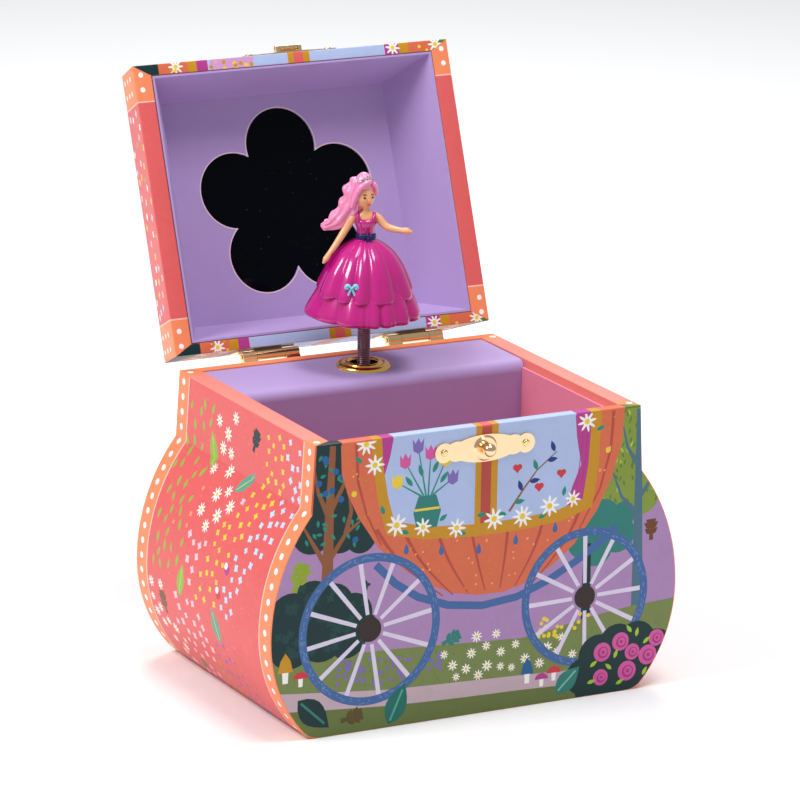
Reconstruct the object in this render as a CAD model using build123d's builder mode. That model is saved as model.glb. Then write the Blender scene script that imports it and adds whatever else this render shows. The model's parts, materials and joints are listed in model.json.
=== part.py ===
from build123d import *

import os
from math import acos, cos, pi, radians, sin, sqrt

# Musical jewellery box shaped like a round-bellied carriage, with a turning princess doll on a coil
# spring.  Millimetres.  X runs to the right, Y to the back, Z up; the origin is the middle of the base.
# The lid and the doll are drawn with the lid standing open.

# ---------------------------------------------------------------- driving dimensions: box
neck_width = 130.0          # outside width across the straight neck at the rim
box_depth = 110.0           # outside depth, front face to back face
rim_height = 107.0          # height of the rim above the table
neck_flare = 1.3            # how far each side has moved out at the foot of the neck
kink_height = 82.5          # height where the neck turns into the belly
belly_out = 16.8            # how far the belly stands out beyond the neck
belly_height = 38.0         # height of the widest point
foot_out = 1.0              # where the belly's curve would meet the table, outside the neck
foot_radius = 8.0           # rounding between belly and base
panel_wall = 3.9            # front and back panels
neck_wall = 6.8             # side walls at the rim
belly_wall = 3.4            # side walls at the belly
base_wall = 4.0             # base board
base_inset = 6.0            # base board's edge, inside the neck's outer face
turn_in = 3.0               # strip of wall left bare above the compartment's liner
liner_wall = 1.0            # card liner
board_gap = 0.3             # gap left round a board that is fitted into the box

# ---------------------------------------------------------------- driving dimensions: platform
platform_drop = 0.5         # platform's top below the rim
platform_wall = 2.5
platform_front = 17.5       # y of the platform's front face
platform_edge_radius = 4.0
spindle_y = 35.0            # the doll's axis
rail_size = 6.0             # wooden rails under the platform
grommet_flange = 20.4       # outside diameter of the grommet
grommet_tube = 13.0         # outside diameter of its tube
grommet_bore = 10.4

# ---------------------------------------------------------------- driving dimensions: lid
lid_height = 24.2           # rim to roof
lid_taper = 6.7             # how far each side of the roof leans in
lid_setback = 2.5           # lid's front face behind the box's front face
lid_gap = 0.2               # closed lid above the rim
roof_wall = 1.5
mirror_thickness = 0.7
mirror_size = 82.0
lining_wall = 0.8
lining_side_taper = 11.0
lining_front_taper = 7.0
lining_back_taper = 6.5
flower_ring = 22.3          # distance of each petal's centre from the flower's centre
petal_radius = 14.2
petals = 5

# ---------------------------------------------------------------- driving dimensions: hinges and clasp
open_angle = 111.0          # lid at rest, measured from closed
hinge_out = 3.0             # hinge axis behind the back face
hinge_up = 1.3              # hinge axis above the rim
hinge_length = 23.0
hinge_places = (-27.0, 33.0)
knuckle_radius = 1.8
hinge_pin_radius = 0.8
leaf_wall = 0.8
leaf_height = 11.0
nail_radius = 0.7
nail_head = 1.3
nail_head_height = 0.8
nail_length = 2.8
clasp_length = 40.0
clasp_height = 10.0
clasp_wall = 0.8
clasp_x = 1.5               # clasp's place along the front
clasp_below_rim = 8.2
dome_radius = 5.8
dome_height = 0.7
stud_radius = 2.4
hasp_pivot_up = 6.0         # hasp's axis above the lid's rim
hasp_width = 7.0
hasp_knuckle = 1.1
hasp_pin_radius = 0.5

# ---------------------------------------------------------------- driving dimensions: movement
train_height = 62.0         # height of the mainspring's and the cylinder's axes
plate_wall = 2.4
front_plate_y = 22.0        # front face of the front plate
module_train = 0.6          # great wheel and cylinder pinion
great_teeth = 50
cylinder_pinion_teeth = 20
module_governor = 0.5
cylinder_wheel_teeth = 56
fan_pinion_teeth = 12
governor_angle = -70.0      # direction from the cylinder's axis to the fan's axis
face_teeth = 42             # crown teeth on the great wheel
spindle_pinion_teeth = 16
face_radius = 13.5
wheel_thickness = 1.6
cylinder_radius = 6.5
pin_height = 0.55
comb_reeds = 12
spring_case_radius = 13.5
arbor_radius = 2.0
pivot_radius = 1.0
key_clearance = 5.0         # key's eye behind the back panel
running_fit = 0.05          # radial clearance of turning shafts

# ---------------------------------------------------------------- driving dimensions: doll
coil_radius = 2.45
coil_bore = 1.75
fold_depth = 1.5            # the coil spring bends about a point this far below the platform
coil_below = 7.0            # coil spring's foot below the platform
coil_above = 24.0           # coil spring's head above the platform
hem_height = 19.5
hem_radius = 20.9
upper_hem_height = 28.5
upper_hem_radius = 18.3
waist_height = 46.8
waist_radius = 3.7
shell_wall = 1.0            # moulded skirt
shoulder_height = 55.6
head_height = 62.9
crown_height = 72.0

# ---------------------------------------------------------------- derived places
neck_half = neck_width / 2
depth_half = box_depth / 2
inner_half = neck_half - neck_wall
inner_depth = depth_half - panel_wall
platform_top = rim_height - platform_drop
platform_under = platform_top - platform_wall
hinge_y = depth_half + hinge_out
hinge_z = rim_height + hinge_up

hinge_axis = Vector(0, hinge_y, hinge_z)
lid_out = Vector(0, cos(radians(open_angle)), -sin(radians(open_angle)))
lid_up = Vector(0, sin(radians(open_angle)), cos(radians(open_angle)))

os.makedirs("parts", exist_ok=True)


def keep(builder, name):
    """Label a finished piece and write it as its own STEP file."""
    builder.part.label = name
    export_step(builder.part, f"parts/{name}.step")


def lid_plane(x=0.0, y=0.0, z=0.0):
    """A plane level with the lid's rim: x and y as when the lid is shut, z above the hinge axis."""
    place = hinge_axis + Vector(x, 0, 0) + lid_out * (y - hinge_y) + lid_up * z
    return Plane(origin=place, x_dir=(1, 0, 0), z_dir=lid_up)


def lid_front_plane(x=0.0, y=0.0, z=0.0):
    """An upright plane in the lid that looks out of its front: local x to the right, local y up."""
    place = lid_plane(x, y, z).origin
    return Plane(origin=place, x_dir=(1, 0, 0), z_dir=-lid_out)


def lid_side_plane(x=0.0):
    """A plane across the lid at the hinge axis: local x to the lid's back, local y up."""
    return Plane(origin=hinge_axis + Vector(x, 0, 0), x_dir=lid_out, z_dir=(1, 0, 0))


def doll_plane(height, x=0.0, y=0.0):
    """A level plane on the doll's axis, a height above the platform's top."""
    return Plane(origin=(x, spindle_y + y, platform_top + height))


lid_rim_z = rim_height + lid_gap - hinge_z      # lid's rim, measured from the hinge axis
lid_roof_z = lid_rim_z + lid_height
lid_front_y = -depth_half + lid_setback
lid_back_y = depth_half


# ---------------------------------------------------------------- places of nails and clasp plates
hinge_nail_xs = (-hinge_length * 0.34, hinge_length * 0.34)
hinge_nail_drop = 8.0       # nails below and above the hinge axis
clasp_nail_x = clasp_length / 2 - 3.6
leaf_face_y = depth_half + leaf_wall


def box_nail_plane(x):
    """Where a nail's head sits on a lower leaf."""
    origin = (x, leaf_face_y, hinge_z - hinge_nail_drop)
    return Plane(origin=origin, x_dir=(-1, 0, 0), z_dir=(0, 1, 0))


def lid_nail_plane(x):
    """Where a nail's head sits on an upper leaf."""
    origin = lid_plane(x, leaf_face_y, hinge_nail_drop).origin
    return Plane(origin=origin, x_dir=(-1, 0, 0), z_dir=lid_out)


box_front = Plane(
    origin=(clasp_x, -depth_half, rim_height - clasp_below_rim), x_dir=(1, 0, 0), z_dir=(0, -1, 0)
)
lid_clasp_up = hasp_pivot_up + lid_rim_z
lid_front = lid_front_plane(x=clasp_x, y=lid_front_y, z=lid_clasp_up)


def clasp_nail_planes(front):
    """The two nail places on a clasp plate, turned so that the heads look outwards."""
    planes = []
    for x in (-clasp_nail_x, clasp_nail_x):
        origin = front.from_local_coords((x, 0, clasp_wall))
        planes.append(Plane(origin=origin, x_dir=(1, 0, 0), z_dir=front.z_dir))
    return planes


hinge_nail_places = [x + dx for x in hinge_places for dx in hinge_nail_xs]
box_hinge_nails = [box_nail_plane(x) for x in hinge_nail_places]
lid_hinge_nails = [lid_nail_plane(x) for x in hinge_nail_places]
box_clasp_nails = clasp_nail_planes(box_front)
lid_clasp_nails = clasp_nail_planes(lid_front)


def pilot_holes(planes, radius=nail_radius):
    """Holes for nails, cut into the piece that is being built."""
    for plane in planes:
        with BuildSketch(plane.offset(-nail_length - 0.2)) as hole:
            Circle(radius)
        extrude(hole.sketch, amount=nail_length + 0.2, mode=Mode.SUBTRACT)


# ---------------------------------------------------------------- box: walls
def body_outline():
    """Half of the carriage's outline and its mirror image, seen from the front."""
    with BuildSketch() as outline:
        with BuildLine():
            neck = Polyline(
                (0, rim_height),
                (neck_half, rim_height),
                (neck_half + neck_flare, kink_height),
            )
            belly = (neck_half + belly_out, belly_height)
            TangentArc(belly, neck @ 1, tangent=(0, 1))
            foot = TangentArc(belly, (neck_half + foot_out, 0), tangent=(0, -1))
            Polyline(foot @ 1, (0, 0), (0, rim_height))
        make_face()
        corner = outline.vertices().group_by(Axis.Y)[0].sort_by(Axis.X)[-1]
        fillet(corner, foot_radius)
        mirror(about=Plane.YZ)
    return outline.sketch


outline = body_outline()
screw_places = [(-17.0, -21.0), (37.0, -21.0), (-17.0, 19.0), (37.0, 19.0)]     # from the key's axis
pillar_radius = 2.6
screw_radius = 1.3

with BuildPart() as front_panel:
    with BuildSketch(Plane.XZ.offset(inner_depth)):
        add(outline)
    extrude(amount=panel_wall)
    pilot_holes(box_clasp_nails)
    pilot_holes([box_front], stud_radius * 0.5)
keep(front_panel, "front_panel")

with BuildPart() as back_panel:
    with BuildSketch(Plane.XZ.offset(-depth_half)):
        add(outline)
        with Locations((0, train_height)):
            Circle(arbor_radius + 1.0, mode=Mode.SUBTRACT)
        with Locations(*[(x, train_height + z) for x, z in screw_places]):
            Circle(screw_radius, mode=Mode.SUBTRACT)
    extrude(amount=panel_wall)
    pilot_holes(box_hinge_nails)
keep(back_panel, "back_panel")


def side_section():
    """Section of the right-hand wall: straight inside the neck, then following the belly."""
    with BuildSketch() as section:
        add(outline)
        with BuildLine():
            neck = Line((inner_half, rim_height + 1), (inner_half, kink_height - 3))
            belly = (neck_half + belly_out - belly_wall, belly_height)
            TangentArc(belly, neck @ 1, tangent=(0, 1))
            foot = TangentArc(belly, (neck_half - base_inset + 4, base_wall + 3), tangent=(0, -1))
            Polyline(
                foot @ 1,
                (neck_half - base_inset, base_wall),
                (neck_half - base_inset, -1),
                (-neck_width, -1),
                (-neck_width, rim_height + 1),
                neck @ 0,
            )
        make_face(mode=Mode.SUBTRACT)
    return section.sketch


side_wall_section = side_section()

with BuildPart() as right_side_wall:
    with BuildSketch(Plane.XZ.offset(-inner_depth)):
        add(side_wall_section)
    extrude(amount=2 * inner_depth)
keep(right_side_wall, "right_side_wall")

with BuildPart() as left_side_wall:
    with BuildSketch(Plane.XZ.offset(-inner_depth)):
        mirror(side_wall_section, about=Plane.YZ)
    extrude(amount=2 * inner_depth)
keep(left_side_wall, "left_side_wall")

with BuildPart() as base_board:
    with BuildSketch(Plane.XY):
        Rectangle(2 * (neck_half - base_inset), 2 * inner_depth)
    extrude(amount=base_wall)
keep(base_board, "base_board")

# ---------------------------------------------------------------- box: liner and platform
liner_half = inner_half - board_gap
liner_front = -inner_depth + board_gap
liner_top = rim_height - turn_in

with BuildPart() as compartment_liner:
    with BuildSketch(Plane.XY.offset(base_wall)):
        with Locations((0, (liner_front + platform_front) / 2)):
            Rectangle(2 * liner_half, platform_front - liner_front)
    extrude(amount=liner_top - base_wall)
    with BuildSketch(Plane.XY.offset(base_wall + liner_wall)):
        with Locations((0, (liner_front + platform_front + liner_wall) / 2)):
            Rectangle(2 * (liner_half - liner_wall), platform_front - liner_front - liner_wall)
    extrude(amount=liner_top, mode=Mode.SUBTRACT)
keep(compartment_liner, "compartment_liner")

with BuildPart() as platform_cover:
    with BuildSketch(Plane.YZ):
        with BuildLine():
            Polyline(
                (platform_front, base_wall),
                (platform_front, platform_top),
                (inner_depth - board_gap, platform_top),
                (inner_depth - board_gap, platform_under),
                (platform_front + platform_wall, platform_under),
                (platform_front + platform_wall, base_wall),
                close=True,
            )
        make_face()
    extrude(amount=inner_half - board_gap, both=True)
    front_edges = platform_cover.edges().filter_by(Axis.X).group_by(Axis.Y)
    fillet(front_edges[0].sort_by(Axis.Z)[-1], platform_edge_radius)
    fillet(
        platform_cover.edges().filter_by(Axis.X).filter_by_position(
            Axis.Z, platform_under - 0.01, platform_under + 0.01
        ).sort_by(Axis.Y)[0],
        platform_edge_radius - platform_wall,
    )
    with Locations((0, spindle_y, platform_top)):
        Hole(grommet_tube / 2 + running_fit)
keep(platform_cover, "platform_cover")

rail_front = platform_front + platform_edge_radius + board_gap

with BuildPart() as platform_rails:
    for side in (-1, 1):
        rail_x = side * (inner_half - rail_size / 2)
        rail_y = (rail_front + inner_depth) / 2
        with BuildSketch(Plane(origin=(rail_x, rail_y, platform_under - rail_size))):
            Rectangle(rail_size, inner_depth - rail_front)
        extrude(amount=rail_size)
    chamfer(platform_rails.edges().filter_by(Axis.Y).group_by(Axis.Z)[0], 0.6)
keep(platform_rails, "platform_rails")

with BuildPart() as spindle_grommet:
    with BuildSketch(Plane.XZ.offset(-spindle_y)):
        with BuildLine():
            lip = Polyline(
                (grommet_tube / 2, platform_under - 0.6),
                (grommet_tube / 2, platform_top),
                (grommet_flange / 2, platform_top),
            )
            rim = SagittaArc(lip @ 1, (grommet_flange / 2 - 3.0, platform_top + 1.0), -1.0)
            bead = SagittaArc(rim @ 1, (grommet_bore / 2, platform_top + 1.4), -0.9)
            Polyline(bead @ 1, (grommet_bore / 2, platform_under - 0.6), lip @ 0)
        make_face()
    revolve(axis=Axis((0, spindle_y, 0), (0, 0, 1)))
keep(spindle_grommet, "spindle_grommet")


# ---------------------------------------------------------------- lid: tray, mirror and lining
def lid_half_width(z):
    """Half of the lid's outside width at a height above the hinge axis."""
    return neck_half - lid_taper * (z - lid_rim_z) / lid_height


def lid_slab(bottom, top, inset=0.0):
    """Trapezoid between two heights of the lid, seen from the front."""
    with BuildSketch() as slab:
        with BuildLine():
            Polyline(
                (-lid_half_width(bottom) + inset, bottom),
                (lid_half_width(bottom) - inset, bottom),
                (lid_half_width(top) - inset, top),
                (-lid_half_width(top) + inset, top),
                close=True,
            )
        make_face()
    return slab.sketch


lid_end_walls = (
    (lid_front_y, "lid_front_wall", lid_clasp_nails),
    (lid_back_y - panel_wall, "lid_back_wall", lid_hinge_nails),
)
for front_y, name, nail_planes in lid_end_walls:
    with BuildPart() as lid_end_wall:
        with BuildSketch(lid_front_plane(y=front_y)):
            add(lid_slab(lid_rim_z, lid_roof_z))
        extrude(amount=-panel_wall)
        pilot_holes(nail_planes)
    keep(lid_end_wall, name)

lid_inner_front = lid_front_y + panel_wall
lid_inner_back = lid_back_y - panel_wall
lid_inner_depth = lid_inner_back - lid_inner_front
lid_middle_y = (lid_inner_front + lid_inner_back) / 2
roof_under = lid_roof_z - roof_wall

for side, name in ((-1, "lid_left_wall"), (1, "lid_right_wall")):
    with BuildPart() as lid_side_wall:
        with BuildSketch(lid_front_plane(y=lid_inner_front)):
            with BuildLine():
                Polyline(
                    (side * lid_half_width(lid_rim_z), lid_rim_z),
                    (side * lid_half_width(roof_under), roof_under),
                    (side * (lid_half_width(roof_under) - neck_wall), roof_under),
                    (side * (lid_half_width(lid_rim_z) - neck_wall), lid_rim_z),
                    close=True,
                )
            make_face()
        extrude(amount=-lid_inner_depth)
    keep(lid_side_wall, name)

with BuildPart() as lid_roof_board:
    with BuildSketch(lid_front_plane(y=lid_inner_front)):
        add(lid_slab(roof_under, lid_roof_z))
    extrude(amount=-lid_inner_depth)
keep(lid_roof_board, "lid_roof_board")

mirror_under = roof_under - mirror_thickness
lining_under = mirror_under - lining_wall

with BuildPart() as lid_mirror:
    with BuildSketch(lid_plane(y=lid_middle_y, z=mirror_under)):
        RectangleRounded(mirror_size, min(mirror_size, lid_inner_depth - 16), 1.0)
    extrude(amount=mirror_thickness)
keep(lid_mirror, "lid_mirror")


def lining_section(z, wall):
    """Rectangle of the lining tray at a height above the hinge axis, out to a wall's thickness."""
    share = (z - lid_rim_z) / (lining_under - lid_rim_z)
    half = inner_half - board_gap - lining_wall - lining_side_taper * share + wall
    front = lid_inner_front + board_gap + lining_wall + lining_front_taper * share - wall
    back = lid_inner_back - board_gap - lining_wall - lining_back_taper * share + wall
    with BuildSketch(lid_plane(y=(front + back) / 2, z=z)) as section:
        Rectangle(2 * half, back - front)
    return section.sketch


with BuildPart() as lid_lining:
    loft([lining_section(lid_rim_z, lining_wall), lining_section(mirror_under, lining_wall)])
    loft(
        [lining_section(lid_rim_z - 0.5, 0), lining_section(lining_under, 0)],
        mode=Mode.SUBTRACT,
    )
    with BuildSketch(lid_plane(y=lid_middle_y, z=lining_under - 0.5)):
        with PolarLocations(flower_ring, petals, start_angle=-90):
            Circle(petal_radius)
        Circle(flower_ring)
    extrude(amount=lining_wall + 1.0, mode=Mode.SUBTRACT)
keep(lid_lining, "lid_lining")


# ---------------------------------------------------------------- hinges
def leaf_section(up):
    """A leaf on the back face and the web that joins it to its knuckle; up is 1 for the lid's leaf."""
    face = -hinge_out
    web = hinge_pin_radius + 0.6
    with BuildSketch() as section:
        with BuildLine():
            Polyline(
                (face, up * leaf_height),
                (face + leaf_wall, up * leaf_height),
                (face + leaf_wall, up * (web + leaf_wall)),
                (0, up * (web + 0.2)),
                (-knuckle_radius * 0.9, up * 0.35),
                (face, up * 1.6),
                close=True,
            )
        make_face()
        Circle(knuckle_radius)
        Circle(hinge_pin_radius + running_fit, mode=Mode.SUBTRACT)
    return section.sketch


knuckle_gap = 0.12
middle_knuckle = hinge_length * 0.5
leaf_foot = knuckle_radius + 0.6


def build_leaves(up, plane, nail_planes):
    """Both hinges' leaves: the lid's have the middle knuckle, the box's have the two outer ones."""
    spans = [(-middle_knuckle / 2, middle_knuckle / 2)]
    if up < 0:
        spans = [
            (-hinge_length / 2, -middle_knuckle / 2 - knuckle_gap),
            (middle_knuckle / 2 + knuckle_gap, hinge_length / 2),
        ]
    with BuildPart() as leaves:
        for x in hinge_places:
            for start, end in spans:
                with BuildSketch(plane(x + start)):
                    add(leaf_section(up))
                extrude(amount=end - start)
            with BuildSketch(plane(x - hinge_length / 2)):
                with Locations((-hinge_out + leaf_wall / 2, up * (leaf_height + leaf_foot) / 2)):
                    Rectangle(leaf_wall, leaf_height - leaf_foot)
            extrude(amount=hinge_length)
        for nail_plane in nail_planes:
            with BuildSketch(nail_plane.offset(-1.5 * leaf_wall)):
                Circle(nail_radius)
            extrude(amount=3 * leaf_wall, mode=Mode.SUBTRACT)
    return leaves


def box_side_plane(x=0.0):
    """A plane across the box at the hinge axis: local x to the back, local y up."""
    return Plane(origin=hinge_axis + Vector(x, 0, 0), x_dir=(0, 1, 0), z_dir=(1, 0, 0))


def drive_nails(planes):
    """Round-headed nails whose heads sit on the given planes."""
    with BuildPart() as nails:
        for plane in planes:
            with BuildSketch(plane.offset(-nail_length)):
                Circle(nail_radius)
            extrude(amount=nail_length)
            with BuildSketch(plane):
                Circle(nail_head)
            extrude(amount=nail_head_height)
            crown = nails.edges(Select.LAST).group_by(Axis(plane.origin, plane.z_dir))[-1]
            fillet(crown, nail_head_height * 0.7)
    return nails


keep(build_leaves(-1, box_side_plane, box_hinge_nails), "hinge_lower_leaves")
keep(build_leaves(1, lid_side_plane, lid_hinge_nails), "hinge_upper_leaves")

with BuildPart() as hinge_pins:
    for x in hinge_places:
        with BuildSketch(box_side_plane(x - hinge_length / 2 - 0.3)):
            Circle(hinge_pin_radius)
        extrude(amount=hinge_length + 0.6)
keep(hinge_pins, "hinge_pins")

keep(drive_nails(box_hinge_nails + box_clasp_nails), "box_nails")
keep(drive_nails(lid_hinge_nails + lid_clasp_nails), "lid_nails")


# ---------------------------------------------------------------- clasp
def clasp_outline():
    """Plate with round lobed ends that step in before the wide middle."""
    lobe = clasp_height * 0.36
    with BuildSketch() as plate:
        Ellipse(clasp_length * 0.34, clasp_height / 2)
        with Locations((-clasp_nail_x, 0), (clasp_nail_x, 0)):
            Circle(lobe)
        with Locations((-clasp_nail_x + 5.0, 0), (clasp_nail_x - 5.0, 0)):
            Ellipse(4.2, lobe * 1.02)
    return plate.sketch


clasp_sketch = clasp_outline()

with BuildPart() as clasp_lower_plate:
    with BuildSketch(box_front):
        add(clasp_sketch)
    extrude(amount=clasp_wall)
    with BuildSketch(box_front.offset(clasp_wall)):
        Circle(min(dome_radius, clasp_height / 2 - 0.3))
    extrude(amount=dome_height, taper=45)
    with BuildSketch(box_front):
        Circle(stud_radius * 0.5)
        with Locations((-clasp_nail_x, 0), (clasp_nail_x, 0)):
            Circle(nail_radius)
    extrude(amount=2, mode=Mode.SUBTRACT)
keep(clasp_lower_plate, "clasp_lower_plate")

with BuildPart() as clasp_stud:
    stud_plane = Plane(origin=box_front.origin, x_dir=(1, 0, 0), z_dir=(0, 0, 1))
    neck = stud_radius * 0.5
    ball_out = clasp_wall + dome_height + stud_radius
    stud_depth = nail_length
    with BuildSketch(stud_plane):
        with BuildLine():
            shank = Polyline(
                (0, stud_depth),
                (neck, stud_depth),
                (neck, -ball_out + sqrt(stud_radius**2 - neck**2)),
            )
            ball = ThreePointArc(shank @ 1, (stud_radius, -ball_out), (0, -ball_out - stud_radius))
            Line(ball @ 1, (0, stud_depth))
        make_face()
    revolve(axis=Axis(box_front.origin, (0, 1, 0)))
keep(clasp_stud, "clasp_stud")


strap_low = clasp_wall + 0.1        # strap's near face above the lid's front when it is folded back
strap_high = strap_low + clasp_wall
hooked_gap = 0.15                   # hooked strap in front of the lower plate's dome
hasp_axis_out = (strap_high + lid_setback + clasp_wall + dome_height + hooked_gap) / 2
hasp_axis = lid_front.offset(hasp_axis_out)
hasp_side = Plane(
    origin=hasp_axis.from_local_coords((-hasp_width / 2, 0, 0)), x_dir=lid_up, z_dir=(1, 0, 0)
)
ear_width = 1.6
ear_gap = 0.15

with BuildPart() as clasp_upper_plate:
    with BuildSketch(lid_front):
        add(clasp_sketch)
        with Locations((-clasp_nail_x, 0), (clasp_nail_x, 0)):
            Circle(nail_radius, mode=Mode.SUBTRACT)
    extrude(amount=clasp_wall)
    for x in (-hasp_width / 2 - ear_gap - ear_width, hasp_width / 2 + ear_gap):
        ear = Plane(origin=hasp_axis.from_local_coords((x, 0, 0)), x_dir=lid_up, z_dir=(1, 0, 0))
        with BuildSketch(ear):
            Circle(hasp_knuckle)
            with Locations((0, -(hasp_axis_out - clasp_wall) / 2)):
                Rectangle(2 * hasp_knuckle, hasp_axis_out - clasp_wall)
            Circle(hasp_pin_radius, mode=Mode.SUBTRACT)
        extrude(amount=ear_width)
keep(clasp_upper_plate, "clasp_upper_plate")

with BuildPart() as hasp_pin:
    with BuildSketch(Plane(origin=hasp_side.origin, x_dir=lid_up, z_dir=(1, 0, 0)).offset(-ear_width)):
        Circle(hasp_pin_radius)
    extrude(amount=hasp_width + 2 * ear_width)
keep(hasp_pin, "hasp_pin")

hasp_reach = hasp_pivot_up + lid_gap + clasp_below_rim
hasp_face = lid_front.offset(strap_low)
web_low = strap_low - hasp_axis_out
web_high = strap_high - hasp_axis_out

with BuildPart() as clasp_hasp:
    with BuildSketch(hasp_side):
        with BuildLine():
            Polyline(
                (-hasp_knuckle * 0.8, -hasp_knuckle * 0.5),
                (hasp_knuckle * 0.4, web_low),
                (hasp_knuckle * 2, web_low),
                (hasp_knuckle * 2, web_high),
                (hasp_knuckle * 0.9, hasp_knuckle * 0.4),
                close=True,
            )
        make_face()
        Circle(hasp_knuckle)
        Circle(hasp_pin_radius + running_fit, mode=Mode.SUBTRACT)
    extrude(amount=hasp_width)
    with BuildSketch(hasp_face):
        with Locations((0, hasp_reach)):
            Circle(stud_radius + 2.4)
        with Locations((0, hasp_reach / 2 + hasp_knuckle)):
            Rectangle(hasp_width, hasp_reach - 2 * hasp_knuckle)
        with Locations((0, hasp_reach)):
            Circle(stud_radius + 0.6, mode=Mode.SUBTRACT)
    extrude(amount=clasp_wall)
keep(clasp_hasp, "clasp_hasp")


# ---------------------------------------------------------------- movement: gears
def gear_outline(teeth, module, backlash=0.16, turn=0.0):
    """Involute spur gear as a sketch, with a tooth at local +Y turned by an angle in degrees."""
    pitch = teeth * module / 2
    base = pitch * cos(radians(20))
    tip = pitch + 0.75 * module
    root = pitch - 1.2 * module
    half_tooth = pi / (2 * teeth) - backlash / (2 * pitch)
    involute = lambda r: sqrt(max((r / base) ** 2 - 1, 0)) - acos(min(base / r, 1))
    flank = [max(root, base) + (tip - max(root, base)) * step / 3 for step in range(4)]
    points = []
    for tooth in range(teeth):
        middle = pi / 2 + 2 * pi * tooth / teeth + radians(turn)
        half = [half_tooth + involute(pitch) - involute(r) for r in flank]
        outward = [(root, half[0])] if root < base else []
        outward += list(zip(flank, half))
        points += [(r * cos(middle - a), r * sin(middle - a)) for r, a in outward]
        points += [(r * cos(middle + a), r * sin(middle + a)) for r, a in reversed(outward)]
    with BuildSketch() as gear:
        with BuildLine():
            Polyline(*points, close=True)
        make_face()
    return gear.sketch


great_radius = great_teeth * module_train / 2
cylinder_distance = great_radius + cylinder_pinion_teeth * module_train / 2
governor_distance = (cylinder_wheel_teeth + fan_pinion_teeth) * module_governor / 2
cylinder_x = cylinder_distance
fan_x = cylinder_x + governor_distance * cos(radians(governor_angle))
fan_z = train_height + governor_distance * sin(radians(governor_angle))

back_plate_y = inner_depth - plate_wall
front_plate_back = front_plate_y + plate_wall
spindle_pinion_radius = face_radius * spindle_pinion_teeth / face_teeth
pitch_plane_y = spindle_y + spindle_pinion_radius
crown_tip = 0.5
crown_root = 0.75
great_front_y = pitch_plane_y + crown_root
great_back_y = great_front_y + wheel_thickness
spring_case_front = great_back_y + 0.5
plate_left, plate_right = screw_places[0][0] - 4, screw_places[1][0] + 4
plate_bottom, plate_top = screw_places[0][1] - 4, screw_places[2][1] + 4


def rear_plane(y, x=0.0, z=0.0):
    """Upright plane that looks to the back: local x to the left, local y up."""
    return Plane(origin=(x, y, z), x_dir=(-1, 0, 0), z_dir=(0, 1, 0))


def plate_sketch(bores):
    """One of the movement's two plates, with bores given as (x, z, radius)."""
    with BuildSketch() as plate:
        with Locations((-(plate_left + plate_right) / 2, train_height + (plate_bottom + plate_top) / 2)):
            RectangleRounded(plate_right - plate_left, plate_top - plate_bottom, 3.0)
        for x, z, radius in bores:
            with Locations((-x, z)):
                Circle(radius, mode=Mode.SUBTRACT)
    return plate.sketch


pivot_bore = pivot_radius + running_fit
arbor_bore = arbor_radius + running_fit
screw_bores = [(x, train_height + z, screw_radius) for x, z in screw_places]
shared_bores = [(cylinder_x, train_height, pivot_bore), (fan_x, fan_z, pivot_bore)]
front_arbor_bore = [(0, train_height, pivot_bore)]
back_arbor_bore = [(0, train_height, arbor_bore)]

with BuildPart() as movement_front_plate:
    with BuildSketch(rear_plane(front_plate_y)):
        add(plate_sketch(screw_bores + shared_bores + front_arbor_bore))
    extrude(amount=plate_wall)
keep(movement_front_plate, "movement_front_plate")

with BuildPart() as movement_back_plate:
    with BuildSketch(rear_plane(back_plate_y)):
        add(plate_sketch(screw_bores + shared_bores + back_arbor_bore))
    extrude(amount=plate_wall)
keep(movement_back_plate, "movement_back_plate")

with BuildPart() as plate_pillars:
    for x, z in screw_places:
        with BuildSketch(rear_plane(front_plate_back, x, train_height + z)):
            Circle(pillar_radius)
            Circle(screw_radius, mode=Mode.SUBTRACT)
        extrude(amount=back_plate_y - front_plate_back)
keep(plate_pillars, "plate_pillars")

screw_head_radius = 2.4
screw_head = 1.3


def drive_screw(x, z, y_head, inward, length):
    """Slotted cheese-head screw along Y; inward is +1 when its shank runs to the back."""
    with BuildSketch(rear_plane(y_head, x, z)) as head_disc:
        Circle(screw_head_radius)
    extrude(head_disc.sketch, amount=-inward * screw_head)
    with BuildSketch(rear_plane(y_head, x, z)) as shank:
        Circle(screw_radius)
    extrude(shank.sketch, amount=inward * length)
    with BuildSketch(rear_plane(y_head - inward * screw_head, x, z)) as slot:
        Rectangle(2 * screw_head_radius, 0.6)
    extrude(slot.sketch, amount=inward * 0.7, mode=Mode.SUBTRACT)


with BuildPart() as movement_screws:
    for x, z in screw_places:
        drive_screw(x, train_height + z, front_plate_y, 1, plate_wall + 6.0)
        drive_screw(x, train_height + z, depth_half, -1, panel_wall + plate_wall + 6.0)
keep(movement_screws, "movement_screws")

# ---------------------------------------------------------------- movement: mainspring and great wheel
with BuildPart() as spring_case:
    with BuildSketch(rear_plane(spring_case_front, 0, train_height)):
        Circle(spring_case_radius)
    extrude(amount=back_plate_y - spring_case_front)
    with BuildSketch(rear_plane(spring_case_front + 0.8, 0, train_height)):
        Circle(spring_case_radius - 1.0)
    extrude(amount=back_plate_y - spring_case_front - 0.8, mode=Mode.SUBTRACT)
    with BuildSketch(rear_plane(spring_case_front, 0, train_height)):
        Circle(arbor_radius + 0.3)
    extrude(amount=1.0, mode=Mode.SUBTRACT)
keep(spring_case, "spring_case")

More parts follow.
